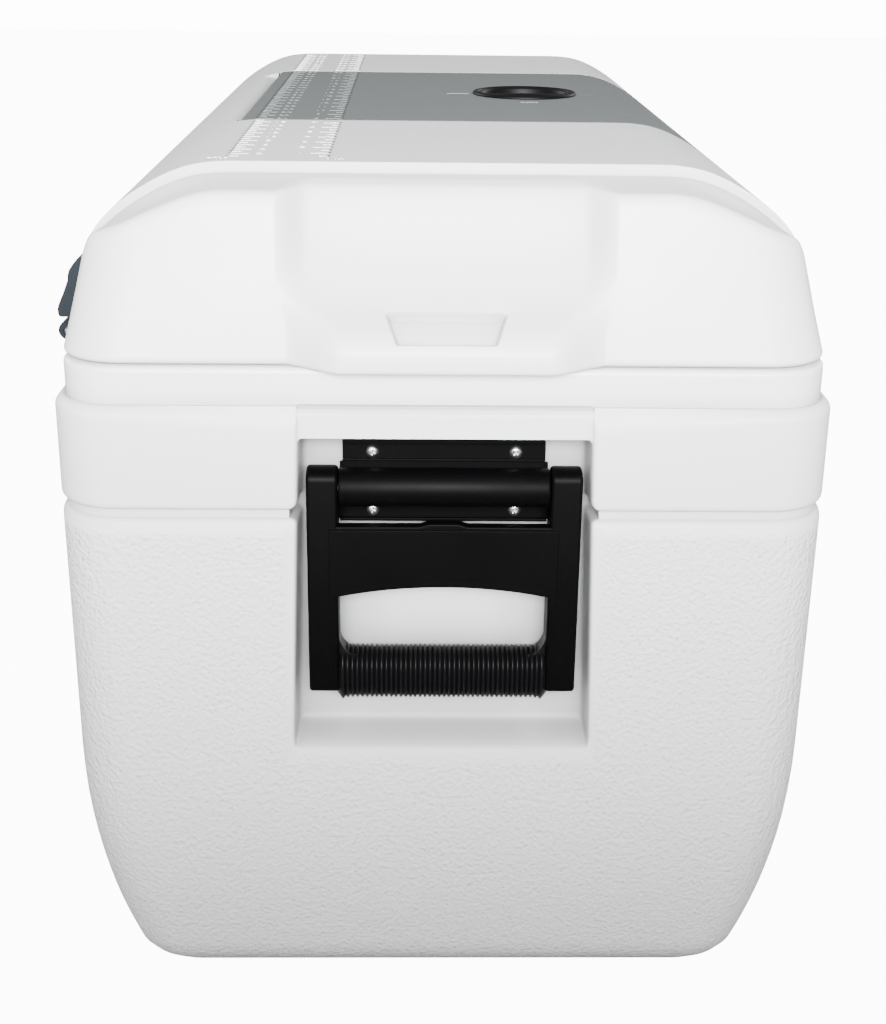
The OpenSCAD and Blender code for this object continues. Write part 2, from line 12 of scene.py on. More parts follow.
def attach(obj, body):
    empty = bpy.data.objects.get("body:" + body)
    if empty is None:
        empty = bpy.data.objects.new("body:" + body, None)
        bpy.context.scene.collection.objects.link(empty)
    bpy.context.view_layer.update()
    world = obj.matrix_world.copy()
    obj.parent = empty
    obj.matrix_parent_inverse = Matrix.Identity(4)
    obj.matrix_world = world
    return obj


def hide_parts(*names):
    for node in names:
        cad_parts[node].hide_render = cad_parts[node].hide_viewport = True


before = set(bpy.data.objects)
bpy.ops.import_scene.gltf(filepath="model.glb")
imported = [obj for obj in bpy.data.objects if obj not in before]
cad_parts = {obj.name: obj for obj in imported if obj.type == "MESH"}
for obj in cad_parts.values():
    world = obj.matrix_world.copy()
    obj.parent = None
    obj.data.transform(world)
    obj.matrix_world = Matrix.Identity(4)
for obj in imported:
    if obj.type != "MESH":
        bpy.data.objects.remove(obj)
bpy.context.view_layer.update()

# ---- main sizes, in mm
HALF_L, HALF_W, TOP = 475, 230, 540
CORNER = 38
BAND_LOW, BAND_TOP, LIP_TOP = 350, 412, 344
POCKET = 30
TUB_SKIN, LID_SKIN = 2.6, 2.2
ARC_X, EDGE_Y, BROW_R = 400, 212.4, 38
EDGE_X = ARC_X + BROW_R
LID_LOW = 438
SEAT_X, SEAT_REAR, SEAT_DEEP = 191.5, 144.6, 14
THROAT_X, THROAT_Y, THROAT_MID, LID_PAN_Z = 160, 142, -24, 455.2
HATCH_X, HATCH_REAR, HATCH_FRONT = 190, 142.4, -212
LATCH = (0, -72, 0)
PIVOT_X, PIVOT_Z = 460, 359.5
BAIL_Y, ARM_W = 81.3, 18.5
GRIP_Z, GRIP_H = 222.5, 33.5
HINGE_X, HINGE_HALF, HINGE_SCREW = (-315, 0, 315), 38, 25
HINGE_Y, HINGE_Z = 239, 426
DRAIN = (0, 0, 58)
RULE, CM_EDGE, IN_EDGE = -384, 131.7, 69.7

# brightness of the backdrop towards the camera and of the sky's fill light
BACKDROP, AMBIENT = 13, .4


# ---- mesh helpers

def ease(t):
    """Smooth step from 0 to 1."""
    t = np.clip(t, 0, 1)
    return t * t * (3 - 2 * t)


def new_object(name, part, finish):
    """Links an object made from (vertices in mm, faces), after finish has worked on its mesh."""
    verts, faces = part
    me = bpy.data.meshes.new(name)
    me.from_pydata((np.asarray(verts, float) * .001).tolist(), [], [list(map(int, f)) for f in faces])
    bm = bmesh.new()
    bm.from_mesh(me)
    finish(bm)
    bm.to_mesh(me)
    bm.free()
    ob = bpy.data.objects.new(name, me)
    bpy.context.scene.collection.objects.link(ob)
    return ob


def turn_out(bm):
    bmesh.ops.recalc_face_normals(bm, faces=bm.faces)


def piece(name, part, mat, body, sharp=40, node=None, slot=None, edge=None, recalc=True):
    """A visible piece that rides on a body; edges steeper than sharp degrees stay crisp.

    node is the CAD node it stands for, slot is not used, edge its bevel as (width, segments).
    """
    def finish(bm):
        bmesh.ops.remove_doubles(bm, verts=bm.verts, dist=2e-6)
        bmesh.ops.dissolve_degenerate(bm, dist=1e-6, edges=bm.edges)
        if recalc:
            turn_out(bm)
        for e in bm.edges:
            e.smooth = len(e.link_faces) != 2 or e.calc_face_angle(0) < radians(sharp)
        for f in bm.faces:
            f.smooth = True

    ob = new_object(name, part, finish)
    ob.data.materials.append(M[mat])
    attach(ob, body)
    if edge:
        bevel(ob, *edge)
    if node:
        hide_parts(node)
    return ob


def bevel(ob, width, segments):
    m = ob.modifiers.new("edges", "BEVEL")
    m.width = width * .001
    m.segments = segments
    m.limit_method = "ANGLE"
    m.angle_limit = radians(30)
    m.harden_normals = True


def thicken(ob, mm, offset=-1):
    m = ob.modifiers.new("wall", "SOLIDIFY")
    m.thickness = mm * .001
    m.offset = offset
    m.use_even_offset = False


def drill(ob, r, a, b, axis, at, segments=48, taper=0):
    """Cuts a round hole out of ob, from a to b along an axis through at."""
    tool = new_object("drill", lathe([(0, a), (r, a), (r + taper, b), (0, b)], segments, axis, at), turn_out)
    m = ob.modifiers.new("cut", "BOOLEAN")
    m.operation = "DIFFERENCE"
    m.solver = "EXACT"
    m.object = tool
    me = bpy.data.meshes.new_from_object(ob.evaluated_get(bpy.context.evaluated_depsgraph_get()))
    ob.modifiers.clear()
    ob.data = me
    bpy.data.objects.remove(tool)


def grid(rows, cols, start=0, flip=False):
    """Faces between rows of closed loops."""
    faces = []
    for a in range(start, start + (rows - 1) * cols, cols):
        for c in range(cols):
            d = (c + 1) % cols
            f = [a + c, a + d, a + cols + d, a + cols + c]
            faces.append(f[::-1] if flip else f)
    return faces


def open_grid(rows, cols, start=0, keep=lambda i, j: True):
    """Faces of an open sheet of points, where keep says so."""
    faces = []
    for i in range(rows - 1):
        for j in range(cols - 1):
            a = start + i * cols + j
            if keep(i, j):
                faces.append([a, a + cols, a + cols + 1, a + 1])
    return faces


def loft(loops, flip=False, first=False, last=False, close=False):
    """Vertices and faces through equal closed loops, with caps on the ends or the ends joined."""
    p = np.array(loops)
    rows, cols = p.shape[:2]
    end = (rows - 1) * cols
    faces = grid(rows, cols, flip=flip)
    if first:
        faces.append(list(range(cols))[::-1])
    if last:
        faces.append([end + c for c in range(cols)])
    if close:
        faces += [[end + c, end + (c + 1) % cols, (c + 1) % cols, c] for c in range(cols)]
    return p.reshape(-1, 3), faces


def place(points, axis, at):
    """Puts points made round +Z at the origin onto an axis through at."""
    order = {"x": [2, 0, 1], "y": [1, 2, 0], "z": [0, 1, 2]}[axis]
    return np.asarray(points, float)[:, order] + np.asarray(at, float)


def ring(r, h, segments, axis="z", at=(0, 0, 0)):
    """A circle at height h on an axis through at; r is one radius or one per point."""
    a = np.arange(segments) * 2 * pi / segments
    return place(np.stack([r * np.cos(a), r * np.sin(a), np.full(segments, float(h))], 1), axis, at)


def lathe(profile, segments, axis="z", at=(0, 0, 0)):
    """A closed (r, h) outline turned about an axis through at."""
    return loft([ring(r, h, segments, axis, at) for r, h in profile], close=True)


def prism(outline, axis, a, b):
    """A flat closed outline pushed along an axis from a to b. Outline is (y, z), (x, z) or (x, y)."""
    o = np.asarray(outline, float)
    n = len(o)
    faces = [list(range(n)), list(range(n, 2 * n))]
    faces += [[i, (i + 1) % n, n + (i + 1) % n, n + i] for i in range(n)]
    return np.concatenate([np.insert(o, "xyz".index(axis), s, axis=1) for s in (a, b)]), faces


def rect(x0, x1, z0, z1):
    return [(x0, z0), (x1, z0), (x1, z1), (x0, z1)]


def box(low, high):
    (x0, y0, z0), (x1, y1, z1) = low, high
    return prism(rect(x0, x1, y0, y1), "z", z0, z1)


def joined(parts):
    verts, faces, base = [], [], 0
    for v, f in parts:
        verts.append(np.asarray(v, float))
        faces += [[i + base for i in face] for face in f]
        base += len(v)
    return np.concatenate(verts), faces


def arc(cx, cy, r, a0, a1, n):
    t = np.radians(np.linspace(a0, a1, n))
    return [(cx + r * cos(x), cy + r * sin(x)) for x in t]


def rounded_rect(x0, x1, z0, z1, r, n):
    return (arc(x1 - r, z1 - r, r, 0, 90, n) + arc(x0 + r, z1 - r, r, 90, 180, n)
        + arc(x0 + r, z0 + r, r, 180, 270, n) + arc(x1 - r, z0 + r, r, 270, 360, n))


def at_end(part, side):
    """Mirrors a part modelled at the +X end onto the -X end when side is -1."""
    v, f = part
    return np.asarray(v, float) * [side, 1, 1], f


def symmetric(values):
    """The values with their mirror images, from the most negative up."""
    v = np.array(values)
    return np.concatenate([-v[:0:-1], v])


def quarter(cx, cy, r, n):
    """The n inner points of a rounded corner, from the -X end round to the -Y side."""
    a = np.linspace(0, pi / 2, n + 2)[1:-1]
    return np.stack([-(cx + r * np.cos(a)), -(cy + r * np.sin(a))], 1)


def plan_loop(end, corner, side, z, mid=0):
    """A level loop from its -X end, one corner and its -Y side, by symmetry about (0, mid)."""
    half = np.concatenate([end, corner, side, (corner * [-1, 1])[::-1]])
    loop = np.concatenate([half, -half]) + [0, mid]
    return np.column_stack([loop, np.full(len(loop), float(z))])


def rounded_loop(a, b, r, z, mid=0):
    """A level rounded rectangle of half sizes a and b."""
    ys = np.linspace(b - r, r - b, 29)
    xs = np.linspace(r - a, a - r, 25)
    end = np.stack([np.full(29, -float(a)), ys], 1)
    side = np.stack([xs, np.full(25, -float(b))], 1)
    return plan_loop(end, quarter(a - r, b - r, r, 9), side, z, mid)


# ---- materials

class Nodes:
    """The shader nodes of one new material."""

    def __init__(self, name):
        self.mat = bpy.data.materials.new(name)
        self.mat.use_nodes = True
        self.tree = self.mat.node_tree
        self.coord = self.new("ShaderNodeTexCoord").outputs["Object"]

    def new(self, kind, **inputs):
        return self.fill(self.tree.nodes.new(kind), **inputs)

    def fill(self, node, **inputs):
        for key, value in inputs.items():
            self.set(node, key.replace("_", " "), value)
        return node

    def set(self, node, key, value):
        socket = node.inputs[key]
        if isinstance(value, bpy.types.NodeSocket):
            self.tree.links.new(value, socket)
        else:
            socket.default_value = (*value, 1) if np.size(value) == 3 else value

    def done(self, **inputs):
        """Fills the surface shader's inputs and hands over the material."""
        self.fill(self.tree.nodes["Principled BSDF"], **inputs)
        return self.mat

    def noise(self, scale, detail=3, rough=.5):
        return self.new("ShaderNodeTexNoise", Vector=self.coord, Scale=scale, Detail=detail,
            Roughness=rough).outputs["Fac"]

    def cells(self, scale):
        n = self.new("ShaderNodeTexVoronoi", Vector=self.coord, Scale=scale)
        n.feature = "SMOOTH_F1"
        return n.outputs["Distance"]

    def spread(self, value, low, high, to_low, to_high):
        return self.new("ShaderNodeMapRange", Value=value, From_Min=low, From_Max=high, To_Min=to_low,
            To_Max=to_high).outputs["Result"]

    def math(self, op, a, b):
        n = self.new("ShaderNodeMath")
        n.operation = op
        self.set(n, 0, a)
        self.set(n, 1, b)
        return n.outputs[0]

    def blend(self, factor, a, b, mode="MIX"):
        n = self.new("ShaderNodeMix")
        n.data_type = "RGBA"
        n.blend_type = mode
        for index, value in ((0, factor), (6, a), (7, b)):
            self.set(n, index, value)
        return n.outputs[2]

    def bump(self, height, distance, strength, **normal):
        return self.new("ShaderNodeBump", Height=height, Distance=distance, Strength=strength,
            **normal).outputs["Normal"]

    def hollow(self, base, reach, least):
        """Paints shade a little into a colour where the surface lies deep between neighbours, from ambient
        occlusion.
        """
        ao = self.new("ShaderNodeAmbientOcclusion", Distance=reach)
        ao.samples = 8
        return self.blend(1, base, self.spread(ao.outputs["AO"], .3, 1, least, 1), "MULTIPLY")

    def worn(self):
        """0 on flats, towards 1 on convex edges."""
        g = self.new("ShaderNodeNewGeometry").outputs["Pointiness"]
        return self.spread(g, .505, .56, 0, 1)


def tint(colour, k):
    return [min(1, c * k) for c in colour]


def plastic(name, colour, rough, grain, depth, vary, wear, wear_to, specular=.5, dip_shade=None):
    """Moulded plastic: fine grain bump, slow tone drift, uneven gloss and slightly polished edges, and
    painted shade in recesses when a shade reach is given.
    """
    n = Nodes(name)
    base = n.blend(n.noise(5, 2), tint(colour, 1 - vary), tint(colour, 1 + vary))
    edge = n.math("MULTIPLY", n.worn(), wear)
    base = n.blend(edge, base, tint(colour, wear_to))
    if dip_shade:
        base = n.hollow(base, *dip_shade)
    patch = n.spread(n.noise(26, 4), .3, .7, rough * .93, rough * 1.07)
    return n.done(Base_Color=base, Roughness=n.math("SUBTRACT", patch, n.math("MULTIPLY", edge, .15)),
        Specular_IOR_Level=specular, Normal=n.bump(n.noise(grain, 2, .6), depth, .5))


def pebbled_white():
    """White tub plastic: pebble grain on the lower body's outer wall, smooth band and pockets, and painted
    shade in its recesses.
    """
    n = Nodes("white_pebbled")
    xyz = n.new("ShaderNodeSeparateXYZ")
    n.set(xyz, 0, n.coord)
    low_body = n.spread(xyz.outputs[2], .339, .333, 0, 1)
    beside_pocket = n.spread(n.math("ABSOLUTE", xyz.outputs[1], 0), .092, .097, 0, 1)
    below_pocket = n.spread(xyz.outputs[2], .192, .182, 0, 1)
    mask = n.math("MULTIPLY", low_body, n.math("MAXIMUM", beside_pocket, below_pocket))
    pebble = n.math("ADD", n.math("MULTIPLY", n.cells(340), .7), n.math("MULTIPLY", n.noise(440, 3, .55), .8))
    pebbled = n.bump(n.math("MULTIPLY", pebble, mask), .0016, 1)
    base = n.blend(n.noise(4, 2), (.735, .74, .745), (.765, .767, .77))
    base = n.blend(n.math("MULTIPLY", n.worn(), .4), base, (.82, .82, .82))
    # painted shade: the colour darkens in the tub's recesses, such as the handle pocket and the grooves
    return n.done(Base_Color=n.hollow(base, .035, .4), Specular_IOR_Level=.4,
        Roughness=n.spread(n.noise(30, 4), .3, .7, .46, .56),
        Normal=n.bump(n.noise(1800, 2), .00003, .4, Normal=pebbled))


def metal(name, colour, rough):
    """Brushed metal with uneven gloss."""
    n = Nodes(name)
    return n.done(Metallic=1, Base_Color=n.blend(n.noise(60, 3), tint(colour, .86), colour),
        Roughness=n.spread(n.noise(180, 4), .3, .7, rough * .8, rough * 1.25),
        Normal=n.bump(n.noise(900, 3), .00003, .5))


def foam_material():
    n = Nodes("foam_cream")
    return n.done(Base_Color=n.blend(n.noise(30, 4), (.62, .52, .3), (.74, .66, .42)), Roughness=.9,
        Normal=n.bump(n.cells(420), .0006, .8))


def floor_material():
    """Pale floor that also glows evenly towards the camera, like a lit studio sweep."""
    n = Nodes("floor_pale")
    to_camera = n.new("ShaderNodeLightPath").outputs["Is Camera Ray"]
    return n.done(Base_Color=(.5, .5, .5), Roughness=.9, Specular_IOR_Level=.1,
        Emission_Color=n.blend(n.noise(1.5, 2), (.9, .9, .9), (.91, .91, .91)),
        Emission_Strength=n.math("MULTIPLY", to_camera, BACKDROP))


# plastics: name, colour, roughness, grain scale and depth, tone drift, edge wear and its tone, specular,
# painted shade in recesses as (reach, darkest factor)
M = {
    "shell": pebbled_white(),
    # the lid's colour carries painted shade in its scoops, seams and other recesses
    "lid": plastic("white_lid", (.79, .795, .8), .4, 1500, .000015, .012, .3, 1.08, .4, (.045, .15)),
    "liner": plastic("white_liner", (.82, .82, .82), .34, 1600, .00003, .01, .2, 1.05, .45),
    "hatch": plastic("grey_hatch", (.128, .14, .14), .6, 1300, .00008, .04, .3, 1.25, .2),
    # the ruler's marks are painted lighter than the lid's white and the hatch's grey: a painted sheen
    # standing in for the gloss of their raised faces
    "relief": plastic("white_ruler_painted_sheen", (.99, .99, .99), .3, 2500, .00002, .01, .2, 1.02),
    "grey_ruler_painted_sheen": plastic("grey_ruler_painted_sheen", (.143, .156, .156), .6, 2500, .00002, .02, .2, 1.1),
    "handle": plastic("black_handle", (.0012, .0012, .0014), .5, 1400, .00005, .06, 0, 1, .045),
    "grip": plastic("black_grip", (.0026, .0025, .0029), .42, 1900, .00005, .06, .3, 2.5, .12),
    "latch": plastic("black_latch", (.0022, .0022, .0024), .45, 1600, .00003, .05, 0, 1, .1),
    "hinge": plastic("slate_hinge", (.006, .009, .012), .4, 1500, .00005, .06, .5, 1.8, .25),
    "cam": plastic("black_cam", (.03, .03, .032), .45, 1700, .00005, .08, .5, 1.8),
    "drain": plastic("white_drain", (.76, .77, .77), .38, 1500, .00004, .02, .4, 1.08),
    "rubber": plastic("black_rubber", (.018, .018, .018), .7, 900, .0001, .1, .3, 1.8, .3),
    "steel": metal("stainless", (.5, .5, .48), .34),
    "pin": metal("pin_steel", (.66, .6, .58), .35),
    "foam": foam_material(),
}


# ---- tub

def foot_inset(z):
    """How far the lower body is drawn in at height z: a slight taper, the long curve and the toe."""
    z = np.asarray(z, float)
    return (1.5 * np.clip(1 - z / 350, 0, 1) + 33 * np.clip(1 - z / 185, 0, 1) ** 2.1
        + 22 * np.clip(1 - z / 24, 0, 1) ** 2)


def mouth_half(z):
    """Half width of the handle pocket's mouth, with rounded corners at the groove."""
    half = float(np.interp(z, [200, 393], [91, 85.3]))
    for step, r in ((z - BAND_LOW, 5), (LIP_TOP - z, 4)):
        if 0 <= step < r:
            half += r - sqrt(r * r - (r - step) ** 2)
    return half + 4.5 if LIP_TOP < z < BAND_LOW else half


def tub_rows():
    """(z, inset, plan radius, pocket share, band) from the underside up; band is 1 on its wall."""
    rows = [(2, 96, 16, 0, 0), (1.8, 84, 18, 0, 0), (0, 80, 20, 0, 0), (0, 64, 26, 0, 0)]
    for z in (0, .6, 1.6, 3, 5, 8, 12, 17, 24, 33, 45, 58, 72, 86, 100, 115, 130, 147, 165, 180, 186):
        rows.append((z, foot_inset(z), CORNER - 4 * max(0, 1 - z / 90), 0, 0))
    for z, s in ((190.5, 0), (191.6, .004), (192.5, .02), (193.2, .055), (194, .12), (195.2, .3),
            (196.6, .55), (197.9, .78), (198.9, .91), (199.9, .965), (201.2, .99), (203.5, 1)):
        rows.append((z, foot_inset(z), CORNER, s, 0))
    for z in (212, 228, 246, 264, 282, 300, 316, 328, 334):
        rows.append((z, foot_inset(z), CORNER, 1, 0))
    for z, d in ((338.5, .15), (340.2, .5), (341.8, 1.1), (343, 1.9), (343.8, 2.7), (344.2, 3.4),
            (349.2, 3.4), (349.5, 2.6), (350, 1.5), (350.8, .7), (352, .2), (353.6, 0), (356, 0), (360, 0),
            (366, 0), (374, 0), (382, 0)):
        rows.append((z, d, CORNER - d, 1, 0))
    for z, s in ((386.5, .997), (388.4, .985), (389.6, .95), (390.4, .88), (391.2, .62), (391.9, .34),
            (392.6, .16), (393.3, .1)):
        rows.append((z, 0, CORNER, s, 1))
    for z in (394.3, 396, 398, 400, 402, 404, 406, 407.5, 408.6, 409.8, 411, 412):
        rows.append((z, 0, CORNER, 0, 1))
    return rows + [(412, 6.2, CORNER - 6.2, 0, 0), (411.6, 7.2, CORNER - 7.2, 0, 0), (409, 9.5, 28.5, 0, 0)]


# the pocket's side wall as (step in y from the mouth's edge, share of the full depth)
POCKET_WALL = [(-7, 1), (-4.6, .997), (-3.2, .98), (-2.2, .94), (-1.6, .85), (-1.2, .66), (-.8, .36),
    (-.4, .17), (0, .085), (.6, .04), (1.5, .014), (3.2, 0)]
CENTRE_Y = [0, .35, 1.2, 7, 14, 22, 30, 38, 46, 54, 61, 67, 72, 76]
OUTER_Y, OUTER_END = [92.5, 96, 100, 105, 112], 112
END_FRACTIONS = [.1, .22, .36, .5, .64, .78, .9, 1]


def band_slope(y, z):
    """How deep the sloping top edge of the raised band is at height z; it is widest by the pocket."""
    w = float(np.interp(y, [88, 190], [16, 6]))
    return 4.6 * float(np.clip((z - (BAND_TOP - w)) / w, 0, 1)) ** 1.7


def tub_loop(z, d, r, share, band):
    mouth = mouth_half(z)
    cols = [(y * min(1, (mouth - 7.2) / 78.3), 1) for y in CENTRE_Y]
    cols += [(mouth + dy, s) for dy, s in POCKET_WALL]
    cols += [(y + (mouth - 85.3) * (OUTER_END - y) / 25, 0) for y in OUTER_Y]
    straight = max(HALF_W - d - r, 30)
    scale = min(1, (straight - 4) / OUTER_END)
    ys, depth = [], []
    for y, s in cols:
        deep = POCKET * s * share
        head = min(1, s * 11)
        if band and head < .5:
            deep = max(deep, 3 * head, band_slope(y, z) if y > mouth - 4 else 0)
        elif band:
            deep = max(deep, 3 * head + 3.4 * np.clip((z - 407.5) / 4.5, 0, 1))
        if y < .2 and z < 188:
            deep = max(deep, .35)  # mould line on the end's centre
        depth.append(deep)
        ys.append(y * scale)
    inner = OUTER_END * scale
    for f in END_FRACTIONS:
        y = inner + f * (straight - inner)
        ys.append(y)
        depth.append(band_slope(y, z) if band else 0)
    ys = np.array(ys)
    end_x = np.maximum(d, depth) - HALF_L
    end = np.stack([np.concatenate([end_x[::-1], end_x[1:]]), np.concatenate([ys[::-1], -ys[1:]])], 1)
    side_d = max(d, band_slope(HALF_W, z) if band else 0)
    cx, cy = HALF_L - d - r, HALF_W - d - r
    side = np.stack([np.linspace(-cx, cx, 25), np.full(25, side_d - HALF_W)], 1)
    return plan_loop(end, quarter(cx, cy, r - (side_d - d), 11), side, z)


def build_tub():
    ob = piece("tub_shell", loft([tub_loop(*row) for row in tub_rows()], first=True), "shell", "chest", 50,
        "outer_shell", "shell_white", recalc=False)
    thicken(ob, TUB_SKIN)
    drill(ob, 23, 380, 500, "x", DRAIN, 64)

    def wall(r, back):
        p = ring(r, HALF_L - back, 64, "x", DRAIN)
        p[:, 0] -= foot_inset(p[:, 2])
        return p

    cup = [wall(25.6, 1.5), wall(24.2, .5), wall(23, .35)]
    cup += [ring(r, x, 64, "x", DRAIN) for r, x in ((22.9, 446), (22.6, 442), (21.6, 440.4), (20.5, 440),
        (13.2, 440), (13.2, 436), (25.6, 436))]
    piece("drain_recess", loft(cup, close=True), "shell", "chest", 50, slot="shell_white")


def build_liner():
    """Inner liner as (half length, half width, corner radius, height): collar and rim, then the well."""
    rows = [(468.5, 223.5, 31.5, 408), (468.5, 223.5, 31.5, 420), (468.5, 223.5, 31.5, 430.5),
        (468.2, 223.2, 31.2, 432.4), (467.3, 222.3, 30.5, 433.5), (466, 221, 29.5, 434), (452, 213, 34, 434),
        (448, 210.5, 39, 434), (447, 209.8, 39, 433.1), (444, 208.2, 39, 432.6), (441.5, 207.2, 39, 432.6),
        (440.4, 206.8, 39, 433.6), (438, 205.9, 40, 434), (433.5, 204.8, 40, 434), (431.3, 203.9, 40, 433.2),
        (430.2, 203.2, 40, 431.4), (430, 203, 40, 428), (428, 201, 40, 380), (425.5, 198.5, 40, 300),
        (423.4, 196.4, 40, 230), (421, 194, 40, 160), (418.8, 191.8, 40, 118), (416.5, 189.5, 40, 90),
        (412.5, 185.5, 39, 68), (408.5, 181.5, 38, 57), (403.5, 176.5, 36, 48.5), (397.5, 170.5, 34, 42.8),
        (390.5, 163.5, 31, 39.6), (382, 155, 28, 38.2), (366, 139, 24, 38), (352, 125, 20, 38),
        (350, 123, 20, 39.5), (342, 115, 18, 39.5), (340, 113, 18, 38), (120, 70, 18, 38)]
    ob = piece("well_liner", loft([rounded_loop(*row) for row in rows], last=True), "liner", "chest", 50,
        "inner_liner", "liner_white", recalc=False)
    thicken(ob, TUB_SKIN)
    drill(ob, 13.2, 380, 470, "x", DRAIN)


# ---- lid

SHOULDER_Y = np.linspace(0, 222, 445)


def shoulder_curve():
    """Drops of the lid's long shoulder at SHOULDER_Y, smoothed with a bell of 4.5 mm."""
    drop = np.interp(SHOULDER_Y, [0, 134, 148, 161, 174, 185, 195, 205, 212.4, 218, 222],
        [0, 0, 1.6, 5.4, 11.6, 18.2, 25.2, 33.9, 43.6, 54, 66])
    bell = np.exp(-.5 * (np.arange(-24, 25) / 9) ** 2)
    padded = np.concatenate([drop[24:0:-1], drop, 2 * drop[-1] - drop[-2:-26:-1]])
    return np.convolve(padded, bell / bell.sum(), "valid")


SHOULDER_DROP = shoulder_curve()


def shoulder(y):
    """How far the lid's top falls below its flat at a distance y from the centre line."""
    return np.interp(np.abs(y), SHOULDER_Y, SHOULDER_DROP)


def shoulder_normal(y):
    s = shoulder(y + .5) - shoulder(y - .5)
    n = np.stack([np.zeros_like(s), s, np.ones_like(s)], -1)
    return n / np.linalg.norm(n, axis=-1, keepdims=True)


def brow_drop(y):
    """The same fall at the ledge's outer edge, where the corners are fuller."""
    t = np.maximum(np.abs(y) - 130, 0)
    return 32.5 * (np.sqrt(t * t + 30 * 30) - 30 + .12 * t) / 66.9


def ledge(x):
    """Step from the plateau down to the ledge, and the ledge's slight fall to the brow."""
    x = np.abs(x)
    return 6 * ease((x - 395.4) / 3.4) + 4.4 * np.clip((x - 397.5) / 44, 0, 1)


def lid_top(x, y):
    """Height of the lid's outside, with clearance for the hatch's barrel behind the seat."""
    q = ease((np.abs(x) - 397) / 30)
    z = TOP - shoulder(y) * (1 - q) - brow_drop(y) * q - ledge(x)
    dip = 5.5 * np.clip((158.5 - y) / 14, 0, 1) ** 1.5
    return np.where((np.abs(x) < 178.5) & (y > 143), z - dip, z)


# the finger scoop's centre line as (x, z), from the ledge down to the tongue's lip
SCOOP_PATH = [(411, 532.6), (417, 531.6), (421.5, 529.6), (425, 525.6), (428.2, 519), (431.4, 511),
    (435.2, 502), (440, 492.5), (446, 483.5), (453.5, 475.2), (462, 468.2), (471, 462.6), (478.4, 458),
    (483.2, 453.4), (485.9, 448), (486.4, 442.5), (486, 438.6)]
SCOOP_HALF = 97.5


def path_at(points, f):
    """Points at arc-length fractions f along a polyline, rounded a little."""
    p = np.asarray(points, float)
    length = np.concatenate([[0], np.cumsum(np.linalg.norm(np.diff(p, axis=0), axis=1))])
    fine = np.linspace(0, length[-1], 400)
    q = np.stack([np.interp(fine, length, c) for c in p.T], 1)
    padded = np.concatenate([2 * q[0] - q[8:0:-1], q, 2 * q[-1] - q[-2:-10:-1]])
    smooth = [np.convolve(c, np.ones(17) / 17, "valid") for c in padded.T]
    return np.stack([np.interp(np.asarray(f) * length[-1], fine, c) for c in smooth], 1)


LID_Y = [0, 8, 16, 22, 25, *np.arange(26.5, 35), 36, 38, 42, 48, 54, *range(58, 83, 3), 84, 86, 87.5, 89,
    90.2, 91.4, 92.6, 93.8, 95, 96, 97, 98, 99.5, 102, 108, 116, 124, 134, 142, SEAT_REAR, 147, 150, 153, 156,
    158.5, *range(163, 200, 6), 204.5, 209, EDGE_Y]
LID_X = [0, 40, 80, 120, 150, 160, 170, 178, 179.5, 186, 190.8, SEAT_X, 193, 200, 225, 260, 300, 335, 365,
    384, 391, 394, 395, 395.5, 396, 396.5, 397.1, 397.7, 398.2, 398.7, 399.3, ARC_X, 401, 403]
ARC_STEPS = 13


def lid_points(xs, ys):
    """The lid's top as a grid of points: round corners in plan, and the ledge pulled back over the scoops."""
    X, Y = np.meshgrid(xs, ys, indexing="ij")
    arc_y = EDGE_Y - BROW_R + np.sqrt(np.maximum(BROW_R ** 2 - np.maximum(np.abs(X) - ARC_X, 0) ** 2, 0))
    squeezed = np.sign(Y) * (120 + (np.abs(Y) - 120) * (arc_y - 120) / (EDGE_Y - 120))
    pulled = np.clip((np.abs(X) - 401.5) / (EDGE_X - 401.5), 0, 1) * ease((SCOOP_HALF - np.abs(Y)) / 10)
    x = np.sign(X) * (np.abs(X) - pulled * (EDGE_X - SCOOP_PATH[0][0]))
    y = np.where(np.abs(Y) > 120, squeezed, Y)
    return np.stack([x, y, lid_top(x, y)], -1)


# shares of the way down: round the brow, then down the skirt, closest at the tongue
BROW_F = np.linspace(0, 1, 8)
SKIRT_F = np.concatenate([np.linspace(a, b, n)[1:]
    for a, b, n in ((0, .3, 7), (.3, .62, 6), (.62, .93, 26), (.93, 1, 4))])
SCOOP_CURVE = path_at(SCOOP_PATH, np.concatenate([BROW_F * .16, .16 + SKIRT_F * .84])) - [0, .6]


def scooped(P, A, sx, y):
    """Blends a skirt column into the finger scoop and its tongue, with a shallow grip recess."""
    scoop = np.column_stack([SCOOP_CURVE[:, 0] * sx, np.full(len(P), y), SCOOP_CURVE[:, 1]])
    scoop[0] = A
    z = scoop[:, 2]
    low = ease((478 - z) / 24)
    outer = SCOOP_HALF - 6.5 * low
    inner = 80 - 19 * low
    share = np.clip((outer - abs(y)) / (outer - inner), 0, 1)
    share = (.65 * share + .35 * ease(share))[:, None]
    P = P * (1 - share) + scoop * share
    P[0] = A
    half = np.interp(z, [453, 466], [28, 34])
    dent = ease((half + 1.2 - abs(y)) / 2.8) * ease((466.8 - z) / 2.6) * ease((z - 451.6) / 2.4)
    P[:, 0] -= sx * 3.8 * dent
    P[:, 2] -= 3.4 * dent
    return P


